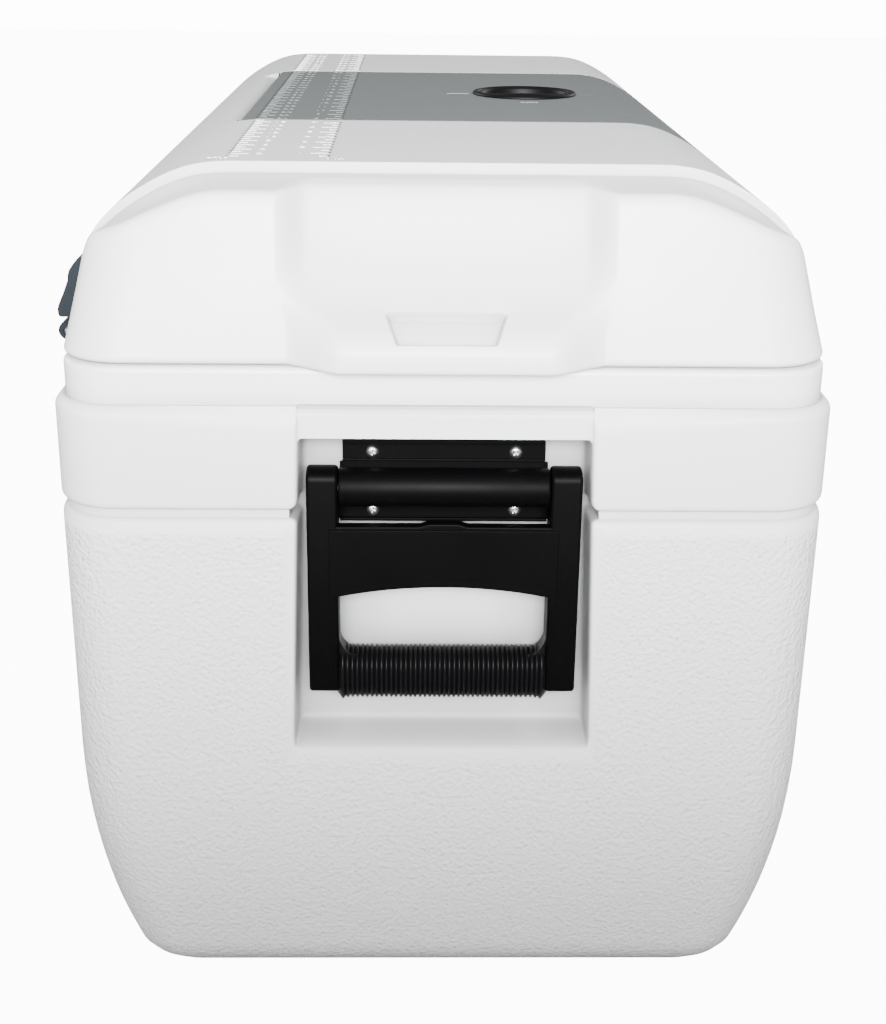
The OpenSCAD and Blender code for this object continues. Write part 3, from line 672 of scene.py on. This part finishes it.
def skirt_column(A, x, y):
    """Points from A on the top's edge, at station (x, y), round the brow and down to under the lip."""
    sx, sy = (-1 if v < 0 else 1 for v in (x, y))
    on_end = abs(x) > EDGE_X - .01 and abs(y) < EDGE_Y - .1
    base = A
    if on_end:
        theta = pi / 2
        low_y = y if abs(y) <= 120 else copysign(120 + (abs(y) - 120) * 67.3 / (EDGE_Y - 120), y)
        C = np.array([466 * sx, low_y, LID_LOW])
        base = np.array([EDGE_X * sx, A[1], lid_top(EDGE_X, A[1])])
    else:
        theta = asin(min(1, max(0, (abs(x) - ARC_X) / BROW_R)))
        C = np.array([sx * (429 + 37 * sin(theta)), sy * (187.3 + 37 * cos(theta)), LID_LOW])
        if theta == 0:
            C = np.array([sx * (abs(x) + max(0, abs(x) - 300) * .29), sy * 224.3, LID_LOW])
    n = np.array([sx * sin(theta), sy * cos(theta), 0])
    k = ease(theta / (pi / 2))
    B = base + n * (2.2 * (1 - k) + 6.5 * k) - np.array([0, 0, 5.5 * (1 - k) + .9 * k])
    D = B + (C - B) / np.linalg.norm(C - B) * (6 * (1 - k) + 7 * k)
    P = np.array([(1 - s) ** 2 * base + 2 * s * (1 - s) * B + s * s * D for s in BROW_F]
        + [D + (C - D) * s for s in SKIRT_F])
    in_scoop = on_end and abs(y) < 98.5
    if in_scoop:
        P = scooped(P, A, sx, y)
    lip = np.array([P[-1] - n * inward - [0, 0, down]
        for inward, down in ((.25, 1.6), (1, 2.7), (2.2, 3.2), (9, 3.2))])
    if in_scoop:
        lip[-1][0] = 458.5 * sx
    return np.concatenate([P, lip])


def seat_faces(start, ix, jy, ny):
    """Walls between the hatch opening's edge in the top and the seat's floor, whose points begin at start."""
    fi, fj = len(ix), len(jy)
    sides = [(i, j, i + 1, j, j == 0) for i in range(fi - 1) for j in (fj - 1, 0)]
    sides += [(i, j, i, j + 1, i > 0) for j in range(fj - 1) for i in (0, fi - 1)]
    faces = []
    for i, j, i2, j2, turned in sides:
        a, b = ix[i] * ny + jy[j], ix[i2] * ny + jy[j2]
        c, d = start + i2 * fj + j2, start + i * fj + j
        faces.append([b, a, d, c] if turned else [a, b, c, d])
    return faces


def build_lid():
    arc_x = [ARC_X + BROW_R * sin(k * pi / 2 / ARC_STEPS) for k in range(2, ARC_STEPS + 1)]
    xs, ys = symmetric(LID_X + arc_x), symmetric(LID_Y)
    nx, ny = len(xs), len(ys)
    top = lid_points(xs, ys)
    mid_x, mid_y = (xs[1:] + xs[:-1]) / 2, (ys[1:] + ys[:-1]) / 2
    faces = open_grid(nx, ny, keep=lambda i, j: abs(mid_x[i]) > SEAT_X or mid_y[j] > SEAT_REAR)

    # skirt: one column per point of the top's boundary
    rim = [(0, j) for j in range(ny - 1, -1, -1)] + [(i, 0) for i in range(1, nx - 1)]
    rim += [(nx - 1, j) for j in range(ny)] + [(i, ny - 1) for i in range(nx - 2, 0, -1)]
    skirt = np.array([skirt_column(top[i, j], xs[i], ys[j]) for i, j in rim]).transpose(1, 0, 2)
    faces += grid(skirt.shape[0], skirt.shape[1], start=nx * ny, flip=True)

    # hatch seat: a floor round the throat, lowered at its rear for the barrel, and walls up to the top
    ix = [i for i in range(nx) if abs(xs[i]) <= SEAT_X + 1e-6]
    jy = [j for j in range(ny) if ys[j] <= SEAT_REAR + 1e-6]
    SX, SY = np.meshgrid(xs[ix], ys[jy], indexing="ij")
    floor = np.stack([SX, SY, TOP - shoulder(SY)], -1) - SEAT_DEEP * shoulder_normal(SY)
    floor[..., 2] -= barrel_dip(SY)
    start = nx * ny + skirt.shape[0] * skirt.shape[1]
    faces += open_grid(len(ix), len(jy), start,
        lambda i, j: abs(mid_x[ix[i]]) > THROAT_X or not -163 < mid_y[j] < 116)
    faces += seat_faces(start, ix, jy, ny)
    verts = np.concatenate([p.reshape(-1, 3) for p in (top, skirt, floor)])
    thicken(piece("lid_shell_skin", (verts, faces), "lid", "lid", 42, "lid_shell", "shell_white"), LID_SKIN)

    # throat between the seat and the inner pan
    foot = rounded_loop(THROAT_X, THROAT_Y, 10, 455.8, THROAT_MID)
    head = TOP - shoulder(foot[:, 1]) - SEAT_DEEP - .3 - barrel_dip(foot[:, 1])
    loops = [np.column_stack([foot[:, :2], foot[:, 2] + (head - foot[:, 2]) * h])
        for h in (0, .25, .5, .75, 1)]
    thicken(piece("hatch_throat_wall", loft(loops, flip=True), "liner", "lid", slot="liner_white",
        recalc=False), 2.4)


def barrel_dip(y):
    return 3 * ease((y - 118) / 10)


def build_lid_pan():
    """Underside of the lid: rim, seal channel, raised pan and the throat's opening."""
    rows = [(462.5, 220.8, 33, 439), (462.8, 221.1, 33.2, 436.5), (461.8, 220.2, 32.5, 435),
        (459, 217.4, 32, 434.7), (452, 212, 36, 434.7), (450.5, 211, 36, 434.7), (449.8, 210.4, 36, 433.2),
        (444.5, 208, 36, 433), (442, 206.6, 36, 434.5), (428, 200.5, 36, 434.5), (426, 199, 36, 432.8),
        (424, 197.4, 36, 427.5), (422.5, 195.9, 35, 426.2), (418, 191.4, 33, 426), (413.5, 186.9, 31, 426.8),
        (411.5, 184.7, 30, 429.5), (408.5, 181, 29, 436), (404.5, 176.8, 27, 446), (402, 174.2, 26, 452),
        (399, 171.5, 25, 454.6), (394, 167, 24, LID_PAN_Z), (300, 158, 22, LID_PAN_Z)]
    rows += [(THROAT_X + step, THROAT_Y + step, r, z, THROAT_MID)
        for step, r, z in ((6, 14, LID_PAN_Z), (.6, 10, LID_PAN_Z), (.2, 10, LID_PAN_Z + 1))]
    ob = piece("lid_pan", loft([rounded_loop(*row) for row in rows]), "liner", "lid", 45, "lid_liner",
        "liner_white", recalc=False)
    thicken(ob, 1.8, 1)


# ---- hatch and latch

def sheet(p_top, p_low):
    """A closed slab from two matching grids of points."""
    nx, ny = p_top.shape[:2]
    n = nx * ny
    faces = open_grid(nx, ny)
    faces += [[n + f for f in reversed(q)] for q in faces]
    edges = [(i * ny + j, (i + 1) * ny + j) for i in range(nx - 1) for j in (0, ny - 1)]
    edges += [(i * ny + j, i * ny + j + 1) for j in range(ny - 1) for i in (0, nx - 1)]
    faces += [[a, b, n + b, n + a] for a, b in edges]
    return np.concatenate([p_top.reshape(-1, 3), p_low.reshape(-1, 3)]), faces


def build_hatch():
    edge = np.array([0, .15, .45, .9, 1.5, 2.2])
    rear = np.array([0, .15, .45, .9, 1.6, 2.6])
    front = HATCH_FRONT + .4
    xs = np.concatenate([-HATCH_X + edge, np.linspace(-HATCH_X + 6, HATCH_X - 6, 25), (HATCH_X - edge)[::-1]])
    ys = np.concatenate([front + edge, [front + 4], np.linspace(-204, -134, 15), np.linspace(-120, 124, 17),
        [131, 134.5], (HATCH_REAR - rear)[::-1]])
    X, Y = np.meshgrid(xs, ys, indexing="ij")
    drop = 0
    for gap, r in ((HATCH_X - np.abs(X), 2.2), (Y - front, 2.2), (HATCH_REAR - Y, 1.6)):
        gap = np.clip(gap, 0, r)
        drop = np.maximum(drop, r - np.sqrt(np.maximum(r * r - (r - gap) ** 2, 0)))
    surface = np.stack([X, Y, TOP - shoulder(Y)], -1)
    n = shoulder_normal(Y)
    under = surface - n * 9.8
    under[..., 1] = np.minimum(under[..., 1], HATCH_REAR)
    ob = piece("hatch_panel", sheet(surface - n * drop[..., None], under), "hatch", "hatch", 42,
        "hatch_cover", "hatch_grey")
    drill(ob, 39.3, 500, 560, "z", LATCH, 96)

    # plug under the panel and a seal bead round it
    a, b, mid = 156, 124.5, -12.5
    rows = [(a - step, b - step, r, z, mid) for step, r, z in ((3, 9, 529.4), (0, 10, 529.6), (0, 10, 505),
        (0, 10, 486), (.8, 9.4, 482.6), (2.8, 8, 480.6), (6, 7, 480), (16, 6, 480), (17, 6, 481.2),
        (22, 6, 481.2), (23, 6, 480))]
    rows += [(*row, 480, LATCH[1]) for row in ((60, 50, 6), (18, 16, 15), (6.6, 6.6, 5.5))]
    ob = piece("hatch_plug", loft([rounded_loop(*row) for row in rows], flip=True), "liner", "hatch", 45,
        "hatch_liner", "liner_white", recalc=False)
    thicken(ob, 2)
    bead = [rounded_loop(a + .8 + u, b + .8 + u, 11, z, mid) for u, z in arc(0, 514, 1.6, 0, 360, 9)]
    piece("hatch_seal", loft(bead), "rubber", "hatch", 80, slot="seal_rubber")


def build_latch():
    at = (0, LATCH[1], TOP)
    ring_profile = [(38.2, -9), (39, -9), (39, -.2), (41.9, -.2), (42.4, .2), (42.5, .9), (42.2, 1.8),
        (41.3, 2.5), (40.2, 2.75), (39.2, 2.4), (38.6, 1.6), (38.3, .5)]
    piece("latch_ring", lathe(ring_profile, 128, "z", at), "latch", "hatch", 50, "latch_bezel", "latch_black")

    # turning cup with a finger bar across it, whose top has a thin groove along it
    cup = lathe([(0, -13), (35.4, -13), (37.2, -11.6), (37.5, -9), (37.5, .9), (37.1, 1.7), (36.3, 2),
        (35.4, 1.6), (34.9, .6), (34.4, -3.5), (33, -6.8), (30, -8.6), (22, -9.2), (0, -9.3)], 128, "z", at)
    bar = []
    for s in np.linspace(-33.2, 33.2, 21):
        rise = .6 - .9 * (s / 33.2) ** 2
        flank = [(-6, -9.4), (-6, -2.2), (-5.5, -.9), (-4.6, -.1), (-3.4, rise * .8), (-1.2, rise),
            (-.7, rise - .6)]
        bar.append([(x, s + at[1], z + at[2]) for x, z in flank + [(-x, z) for x, z in flank[::-1]]])
    piece("latch_cup", joined([cup, loft(bar, first=True, last=True)]), "latch", "hatch_latch", 45,
        "latch_knob", "latch_black")
    stem = [(0, 470.2), (5.4, 470.2), (5.95, 470.8), (5.95, 526), (5.5, 526.9), (0, 526.9)]
    piece("latch_stem", lathe(stem, 32, "z", LATCH), "steel", "hatch_latch", node="latch_spindle")
    outline = arc(0, LATCH[1], 14, 40, 320, 25)
    outline += [(x, LATCH[1] + y) for x, y in ((84, -9), (88, -7.5), (90, -4), (90, 4), (88, 7.5), (84, 9))]
    piece("latch_cam_arm", prism(outline, "z", 471, 479), "cam", "hatch_latch", 35, "latch_cam",
        "latch_black", (1.2, 3))
    screw = [(0, 467.4), (3, 467.4), (6.8, 468.2), (7.9, 469.3), (7.9, 469.9), (2.1, 470), (2.1, 479),
        (0, 480)]
    piece("latch_end_screw", lathe(screw, 32, "z", LATCH), "steel", "hatch_latch", node="latch_screw")
    wall = -165.7
    keeper = joined([box((-24, wall, 466), (24, wall + 2.4, 498)), box((-24, wall, 481), (24, -140, 484))])
    piece("hatch_keeper_plate", keeper, "cam", "lid", 35, "hatch_keeper", "latch_black", (.6, 2))


# ---- ruler

RELIEF, TEXT = .22, 8.4


def digits(text, x, y):
    """Generic characters as thin relief on the lid's flat, centred on (x, y) and read from the -X end."""
    curve = bpy.data.curves.new("digits", "FONT")
    curve.body = text
    curve.size = TEXT * .001
    curve.align_x, curve.align_y = "CENTER", "CENTER"
    curve.resolution_u = 2
    ob = bpy.data.objects.new("digits", curve)
    bpy.context.scene.collection.objects.link(ob)
    me = bpy.data.meshes.new_from_object(ob.evaluated_get(bpy.context.evaluated_depsgraph_get()))
    bpy.data.objects.remove(ob)
    flat = np.array([(x + p.co.y * 1000, y - p.co.x * 1000) for p in me.vertices])
    loops = [list(p.vertices) for p in me.polygons]
    bpy.data.meshes.remove(me)
    n = len(flat)
    edges = {pair for loop in loops for pair in zip(loop, loop[1:] + loop[:1])}
    faces = [[i + n for i in loop] for loop in loops] + [loop[::-1] for loop in loops]
    faces += [[a, b, b + n, a + n] for a, b in sorted(edges) if (b, a) not in edges]
    return np.concatenate([np.insert(flat, 2, TOP + z, axis=1) for z in (-.15, RELIEF)]), faces


def tick(x0, x1, y0, y1, lift=RELIEF):
    return box((x0, y0, TOP - .2), (x1, y1, TOP + lift))


def ruler_parts(x_low, x_high):
    """Ticks and numerals between two stations: centimetres towards the rear, inches in front of them."""
    parts = []
    for k in range(78):
        x = RULE + 10 * k
        if x_low < x < x_high:
            parts.append(tick(x - 2.1, x + 2.1, CM_EDGE - (7.5 if k % 2 else 12.6), CM_EDGE))
            if k and k % 2 == 0:
                parts.append(digits(str(k), x, CM_EDGE - 19.1))
    for k in range(61):
        x = RULE + 12.7 * k
        if x_low < x < x_high:
            parts.append(tick(x - 2.3, x + 2.3, IN_EDGE, IN_EDGE + (6.5 if k % 2 else 12.2)))
            if k and k % 2 == 0:
                parts.append(digits(str(k // 2), x, IN_EDGE + 18.8))
    ends = max(x_low, RULE - 2), x_high - 2
    return parts + [tick(*ends, CM_EDGE - 1.6, CM_EDGE), tick(*ends, IN_EDGE, IN_EDGE + 1.4)]


def build_ruler():
    """The ruler's three lengths, its unit names, and the latch's plain index marks."""
    near = ruler_parts(-383, -193.5) + [digits("cm", RULE + 1, CM_EDGE + 6.3),
        digits("in", RULE + 1, IN_EDGE - 6.5)]
    middle = ruler_parts(-186, 186)
    middle += [tick(*span, .35) for span in ((-1, 1, -26, -8), (-4.5, 4.5, -9.5, -8),
        (-62, -50, -72.8, -71.2), (-63.2, -61.8, -79, -65))]
    # the marks' lighter colours are painted sheen
    piece("lid_marks_near", joined(near), "relief", "lid", 30, recalc=False)
    piece("lid_marks_far", joined(ruler_parts(193.5, 386)), "relief", "lid", 30, recalc=False)
    piece("hatch_marks", joined(middle), "grey_ruler_painted_sheen", "hatch", 30, recalc=False)


# ---- handles

ARM_IN = BAIL_Y - ARM_W


def arch(half, low, rise):
    """An arched lower edge as (y, z), half wide on each side."""
    r = (half * half + rise * rise) / (2 * rise)
    return [(y, low + rise - r + sqrt(r * r - y * y)) for y in np.linspace(-half, half, 25)]


def build_bail(side, tag):
    """Two arms joined by a web with a raised face panel."""
    body = "handle_" + tag
    arm = arc(PIVOT_X, PIVOT_Z, 13.2, 180, 75, 12) + arc(465.4, PIVOT_Z + 6.2, 5.9, 60, 0, 6) + [(471.3, 300)]
    arm += arc(468.3, 232.6, 3, 0, -90, 5) + arc(452.8, 233.1, 3.5, 270, 180, 5) + [(449, 330)]
    arms = joined([prism(arm, "y", -BAIL_Y, -ARM_IN), prism(arm, "y", ARM_IN, BAIL_Y)])
    piece("bail_arms_" + tag, at_end(arms, side), "handle", body, 35, "handle_bail_" + tag, "handle_black",
        (2.2, 4))
    half = ARM_IN + 2
    web = arch(half, 294.5, 7) + [(half, 338.2), (14, 338.4), (9, 340), (-9, 340), (-14, 338.4),
        (-half, 338.2)]
    piece("bail_web_" + tag, at_end(prism(web, "x", 463, 471), side), "handle", body, 35, edge=(1, 3))
    half = ARM_IN + 5.4
    panel = arch(half, 292.6, 7.5) + [(half, 336.4), (-half, 336.4)]
    piece("bail_panel_" + tag, at_end(prism(panel, "x", 469, 472.2), side), "handle", body, 35, edge=(.5, 2))
    pin = [(0, -77), (3.4, -77), (3.95, -76.4), (3.95, 76.4), (3.4, 77), (0, 77)]
    piece("bail_pin_steel_" + tag, lathe(pin, 32, "y", (side * PIVOT_X, 0, PIVOT_Z)), "steel", body,
        node="handle_pin_" + tag, slot="steel")


def build_grip(side, tag):
    """Ribbed oval sleeve, with gussets and beads where it meets the arms."""
    body = "handle_" + tag
    ribs, half, lobe = 42, ARM_IN - .6, 13
    pitch = 2 * half / ribs
    rib = ((0, -1.5), (.16, -1.1), (.3, -.15), (.44, .1), (.58, .1), (.72, -.15), (.88, -1.1))
    stations = [(-half - 3.5, -5)] + [(-half + (k + t) * pitch, h) for k in range(ribs) for t, h in rib]
    stations += [(half, -1.5), (half + 3.5, -5)]
    a = np.arange(48) * pi / 24
    straight = (GRIP_H / 2 - lobe) * np.sign(np.round(np.sin(a), 6))
    loops = []
    for y, h in stations:
        gap = half - abs(y)
        flare = 1.6 * max(0, 1 - gap / 6) if gap >= 0 else 0
        z = GRIP_Z + GRIP_H / 2 + straight + (lobe + h + flare) * np.sin(a)
        loops.append(np.stack([PIVOT_X + (lobe + h) * np.cos(a), np.full(48, y), z], 1))
    piece("bail_grip_" + tag, at_end(loft(loops, first=True, last=True), side), "grip", body, 60,
        "handle_grip_" + tag, "grip_black")
    gussets, beads = [], []
    z = GRIP_Z + GRIP_H - 3
    for s in (-1, 1):
        outline = [(ARM_IN + 1, z - 12), (ARM_IN + 1, z + 14)]
        outline += [(ARM_IN - 11 + 11 * cos(t), z + 13 - 13 * sin(t)) for t in np.linspace(.05, 1.5, 9)]
        outline += [(ARM_IN - 11, z - 12)]
        gussets.append(prism([(s * y, h) for y, h in outline], "x", 453.5, 466.8))
        beads.append(lathe([(0, -1.6), (1.3, -1.3), (2.2, 0), (1.9, 1.4), (1, 2.2), (0, 2.5)], 20, "x",
            (468.6, s * (ARM_IN - 2.6), GRIP_Z + 22.5)))
    piece("bail_gusset_" + tag, at_end(joined(gussets), side), "grip", body, 35, edge=(.7, 3))
    piece("bail_beads_" + tag, at_end(joined(beads), side), "handle", body, 60)


def build_bracket(side, tag):
    """Fixed plate with three ridges and a lower flange, and the barrel that the bail's pin runs in."""
    face = 448.6
    parts = [prism(rounded_rect(-60.5, 60.5, 334.6, 385.4, 1.2, 4), "x", 445.3, face)]
    # painted shade: the lower plate, its flange and the block at the pivot reach out to 62.2 mm, close to the
    # arms, so their black fills gaps that hold only shade
    for half, z0, z1, x0, x1 in ((62.2, 334.6, 371.5, 446, face - .4), (66.5, 334.6, 346, 445.3, 447),
            (60.2, 382.8, 385.4, face - 1, face + 1.2), (60.2, 372.2, 373.8, face - 1, face + 1.3),
            (62.2, 334.6, 336.6, face - 1, face + 2.6)):
        parts.append(prism(rect(-half, half, z0, z1), "x", x0, x1))
    parts.append(prism([(448, PIVOT_Z + 7.5), (448, PIVOT_Z - 7.5), (458, PIVOT_Z - 9.5),
        (458, PIVOT_Z + 9.5)], "y", -62.2, 62.2))
    piece("bracket_plate_" + tag, at_end(joined(parts), side), "handle", "chest", 35, "handle_bracket_" + tag,
        "handle_black", (.5, 2))
    # painted shade: the barrel reaches close to the arms too, its black standing in for the shade in the gaps
    # there
    e = ARM_IN - .4
    barrel = [(4.1, -e), (10.4, -e), (11.2, -e + .5), (11.5, -e + 1.4), (11.5, e - 1.4), (11.2, e - .5),
        (10.4, e), (4.1, e)]
    piece("bracket_barrel_" + tag, at_end(lathe(barrel, 64, "y", (PIVOT_X, 0, PIVOT_Z)), side), "handle",
        "chest", slot="handle_black")


def screw(r, drive, squash=1, turn=0):
    """A pan head with a cross recess and a short shank, pointing along +Z with its seat at 0."""
    loops = [ring(rr, h, 32) for rr, h in ((r * .98, -.6), (r, .35), (r * .97, .9), (r * .86, 1.55),
        (r * .68, 2), (drive, 2.25))]
    cross = drive * (.32 + .68 * np.abs(np.cos(np.arange(32) * pi / 8)) ** 3)
    loops += [ring(cross * k, h, 32) for k, h in ((1, 2.28), (.86, 1.24), (.3, .98))]
    shank = lathe([(0, -11), (1.4, -10), (2, -8.5), (2, -.4), (0, -.4)], 16)
    v, f = joined([loft(loops, first=True, last=True), shank])
    c, s = cos(turn), sin(turn)
    return v @ np.array([[c, s, 0], [-s, c, 0], [0, 0, squash]]), f


def build_screws():
    parts = []
    for side in (-1, 1):
        for y, degrees in ((-42.6, 38), (42.6, 20)):
            for z in (378, 341.5):
                v, f = screw(3.9, 2.3, turn=radians(degrees))
                parts.append(at_end((place(v, "x", (448.7, y, z)), f), side))
    piece("bracket_screw_heads", joined(parts), "steel", "chest", node="handle_screws", slot="steel")
    for node, y, z, body in (("hinge_base_screw", 225.9, 419, "chest"),
            ("hinge_leaf_screw", 230.1, 462, "lid")):
        v, f = screw(3.3, 2, squash=.8)
        parts = [(place(v, "y", (hx + s * HINGE_SCREW, y, z)), f) for hx in HINGE_X for s in (-1, 1)]
        piece(node + "_heads", joined(parts), "steel", body, node=node + "s", slot="steel")


# ---- hinges and drain

def tube(r, a, b, rim, inner=2.6):
    """Outline of a hinge barrel from a to b with chamfered ends."""
    return [(inner, a), (r - rim, a), (r, a + .7), (r, b - .7), (r - rim, b), (inner, b)]


def build_hinge(hx, tag):
    w, k = HINGE_HALF, HINGE_HALF / 3
    axis = (hx, HINGE_Y, HINGE_Z)
    slate = {"slot": "hinge_slate"}

    # leaf on the lid, with ribs and the middle knuckle
    leaf = [(224, 436.8), (241.2, 434.9), (243.6, 435.3), (244.4, 437.2), (244.5, 440), (243.7, 442.9),
        (240.2, 450.5), (236.8, 459), (236.6, 462.2), (235.4, 465.5), (233, 468.9), (230, 472.4),
        (217.8, 472.9)]
    ob = piece("hinge_leaf_%s_body" % tag, prism(leaf, "x", hx - w, hx + w), "hinge", "lid", 35,
        "hinge_leaf_" + tag, **slate)
    for s in (-1, 1):
        drill(ob, 4.2, -9, 30, "y", (hx + s * HINGE_SCREW, HINGE_Y, 462), 32, .4)
    bevel(ob, .8, 3)
    rib = [(240, 441.5), (244.9, 440.6), (241.6, 448.2), (238.2, 456), (236.9, 460), (234, 458)]
    parts = [prism(rib, "x", x - .9, x + .9) for x in hx + np.arange(-30, 31, 15)]
    parts.append(prism([(234.4, 427), (235.2, 438), (242.6, 438), (243.6, 433.6), (243.9, 427)],
        "x", hx - k, hx + k))
    piece("hinge_ribs_" + tag, joined(parts), "hinge", "lid", 35, edge=(.4, 2), **slate)
    piece("hinge_knuckle_" + tag, lathe(tube(5.9, -k, k, .7), 40, "x", axis), "hinge", "lid", **slate)

    # base on the tub, with ears that carry the outer barrels
    base = prism(rounded_rect(hx - w, hx + w, 413, 432.6, 2, 4), "y", 223.9, 226.6)
    ob = piece("hinge_base_%s_body" % tag, base, "hinge", "chest", 35, "hinge_base_" + tag, **slate)
    for s in (-1, 1):
        drill(ob, 4, -13, 30, "y", (hx + s * HINGE_SCREW, HINGE_Y, 419), 32)
    bevel(ob, .6, 2)
    ear = [(225.4, 420.6), (239, 420.2), (239, 431.8), (225.4, 431.4)]
    spans = ((-w, -k - .4), (k + .4, w))
    ears = joined([prism(ear, "x", hx + a, hx + b) for a, b in spans])
    piece("hinge_ears_" + tag, ears, "hinge", "chest", 35, edge=(.5, 2), **slate)
    barrels = joined([lathe(tube(5.95, a, b, .75), 40, "x", axis) for a, b in spans])
    piece("hinge_barrel_" + tag, barrels, "hinge", "chest", **slate)
    rod = [(0, -w - .3), (1.7, -w - .3), (2.4, -w + .4), (2.45, w - .4), (1.7, w + .3), (0, w + .3)]
    piece("hinge_rod_" + tag, lathe(rod, 28, "x", axis), "pin", "chest", node="hinge_pin_" + tag,
        slot="steel")


def build_hatch_pins():
    pin = lathe([(0, 176), (1.95, 176), (1.95, 199.6), (1.6, 200), (0, 200)], 24, "x", (0, 134, 533))
    piece("hatch_pivot_pins", joined([at_end(pin, s) for s in (-1, 1)]), "steel", "lid",
        node="hatch_hinge_pins", slot="steel")


def build_drain():
    """Spout with a short thread, gasket, hexagonal nut, and a cap with a ribbed side."""
    spout = [(9.5, 395), (17.4, 395), (18, 395.6), (18, 397.4), (17.4, 397.8), (13, 397.8), (13, 448)]
    for i in range(5):
        x = 449.5 + i * 2.8
        spout += [(12.4, x), (13, x + .7), (13, x + 1.3), (12.4, x + 2)]
    spout += [(12.6, 464), (9.9, 464), (9.5, 463.4)]
    piece("drain_tube", lathe(spout, 48, "x", DRAIN), "drain", "chest", node="drain_spout")
    gasket = [(13.1, 440.1), (19.6, 440.1), (20, 440.5), (20, 441.6), (19.6, 442), (13.1, 442)]
    piece("drain_seal", lathe(gasket, 48, "x", DRAIN), "rubber", "chest", node="drain_gasket",
        slot="seal_rubber")
    nut = piece("drain_hex_nut", prism(arc(0, DRAIN[2], 21.6, 0, 300, 6), "x", 442.1, 449), "drain", "chest",
        30, "drain_nut")
    drill(nut, 13.1, 430, 470, "x", DRAIN)
    bevel(nut, .9, 3)
    rib = .55 * (np.cos(np.arange(96) * pi / 2) > .1)
    outside = [(13.1, 450.1, 0), (15.9, 450.1, 0), (16.4, 450.7, 1), (16.4, 464.5, 1), (16.2, 466.2, .4),
        (15.3, 467.8, 0), (13.7, 468.8, 0), (10.9, 469, 0), (10.3, 468.3, 0), (2.9, 468.2, 0),
        (.0029, 468.2, 0)]
    inside = [(.01, 464.6, 0), (12.9, 464.6, 0), (13.05, 452, 0)]
    cap = loft([ring(r + k * rib, x, 96, "x", DRAIN) for r, x, k in outside + inside], close=True)
    gap = (len(outside) - 1) * 96
    del cap[1][gap:gap + 96]  # nothing joins the two poles
    piece("drain_screw_cap", cap, "drain", "drain_cap", 35, "drain_cap")


def build_foam():
    """Foam fillings, drawn in a little where the moulded skins are rounder than the CAD."""
    for node, body in (("foam_core", "chest"), ("lid_foam", "lid"), ("hatch_foam", "hatch")):
        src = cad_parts[node].data
        x, y, z = np.array([p.co for p in src.vertices]).T * 1000
        if node == "foam_core":
            beside_pocket = (np.abs(x) > 428) & (np.abs(y) > 78) & (np.abs(y) < 112)
            y = np.where(beside_pocket, y + np.sign(y) * 8, y)
        elif node == "lid_foam":
            y = y * (1 - .075 * ease((np.abs(x) - 370) / 55))
            x = x * (1 - .018 * ease((np.abs(x) - 200) / 150))
            z = np.where(z > 470, 470 + (z - 470) * .95, np.maximum(z, LID_PAN_Z + 3))
        part = np.stack([x, y, z], 1), [list(p.vertices) for p in src.polygons]
        piece(node + "_fill", part, "foam", body, 30, node, "foam", recalc=False)


# ---- stage, light, camera

def lamp(name, at, target, power, size, size_y, spread=180):
    li = bpy.data.lights.new(name, "AREA")
    li.energy = power
    li.shape = "RECTANGLE"
    li.size, li.size_y = size, size_y
    li.spread = radians(spread)
    ob = bpy.data.objects.new(name, li)
    ob.location = at
    ob.rotation_mode = "QUATERNION"
    ob.rotation_quaternion = (Vector(at) - Vector(target)).to_track_quat("Z", "Y")
    bpy.context.scene.collection.objects.link(ob)


def build_stage():
    """Pale floor and sky that look bright to the camera but light the object only a little."""
    floor = new_object("floor", box((-9000, -9000, -40), (9000, 9000, -.4)), turn_out)
    floor.data.materials.append(floor_material())
    world = bpy.data.worlds.new("studio")
    bpy.context.scene.world = world
    world.use_nodes = True
    tree = world.node_tree
    back = tree.nodes["Background"]
    back.inputs[0].default_value = (1, 1, 1, 1)
    path = tree.nodes.new("ShaderNodeLightPath")
    level = tree.nodes.new("ShaderNodeMapRange")
    level.inputs["To Min"].default_value = AMBIENT
    level.inputs["To Max"].default_value = BACKDROP + 1
    tree.links.new(path.outputs["Is Camera Ray"], level.inputs["Value"])
    tree.links.new(level.outputs["Result"], back.inputs[1])
    lamp("key", (-1.9, 0, 1), (-.47, 0, .76), 33, 1.4, .5, 58)
    lamp("back_left", (1.9, 2.6, 1.5), (.2, .2, .25), 60, 1.6, 1.6)
    lamp("back_right", (2.2, -2.4, 1.5), (.2, -.2, .25), 45, 1.6, 1.6)


def build_camera():
    """Camera before the -X end, looking down a little and turned slightly."""
    pitch, yaw, roll = (radians(a) for a in (20.509, 1.235, .712))
    ahead = Vector((cos(pitch) * cos(yaw), -cos(pitch) * sin(yaw), -sin(pitch)))
    level = Vector((-sin(yaw), -cos(yaw), 0))
    above = level.cross(ahead)
    right = cos(roll) * level + sin(roll) * above
    up = -sin(roll) * level + cos(roll) * above
    cam = bpy.data.cameras.new("camera")
    cam.lens = 55.8
    ob = bpy.data.objects.new("camera", cam)
    ob.matrix_world = Matrix((*zip(right, up, -ahead, (-1.34525, .0196, .67515)), (0, 0, 0, 1)))
    bpy.context.scene.collection.objects.link(ob)
    bpy.context.scene.camera = ob


build_foam()
build_tub()
build_liner()
build_lid()
build_lid_pan()
build_hatch()
build_latch()
build_ruler()
for side, tag in ((-1, "left"), (1, "right")):
    build_bail(side, tag)
    build_grip(side, tag)
    build_bracket(side, tag)
build_screws()
for hx, tag in zip(HINGE_X, ("left", "centre", "right")):
    build_hinge(hx, tag)
build_hatch_pins()
build_drain()
build_stage()
build_camera()
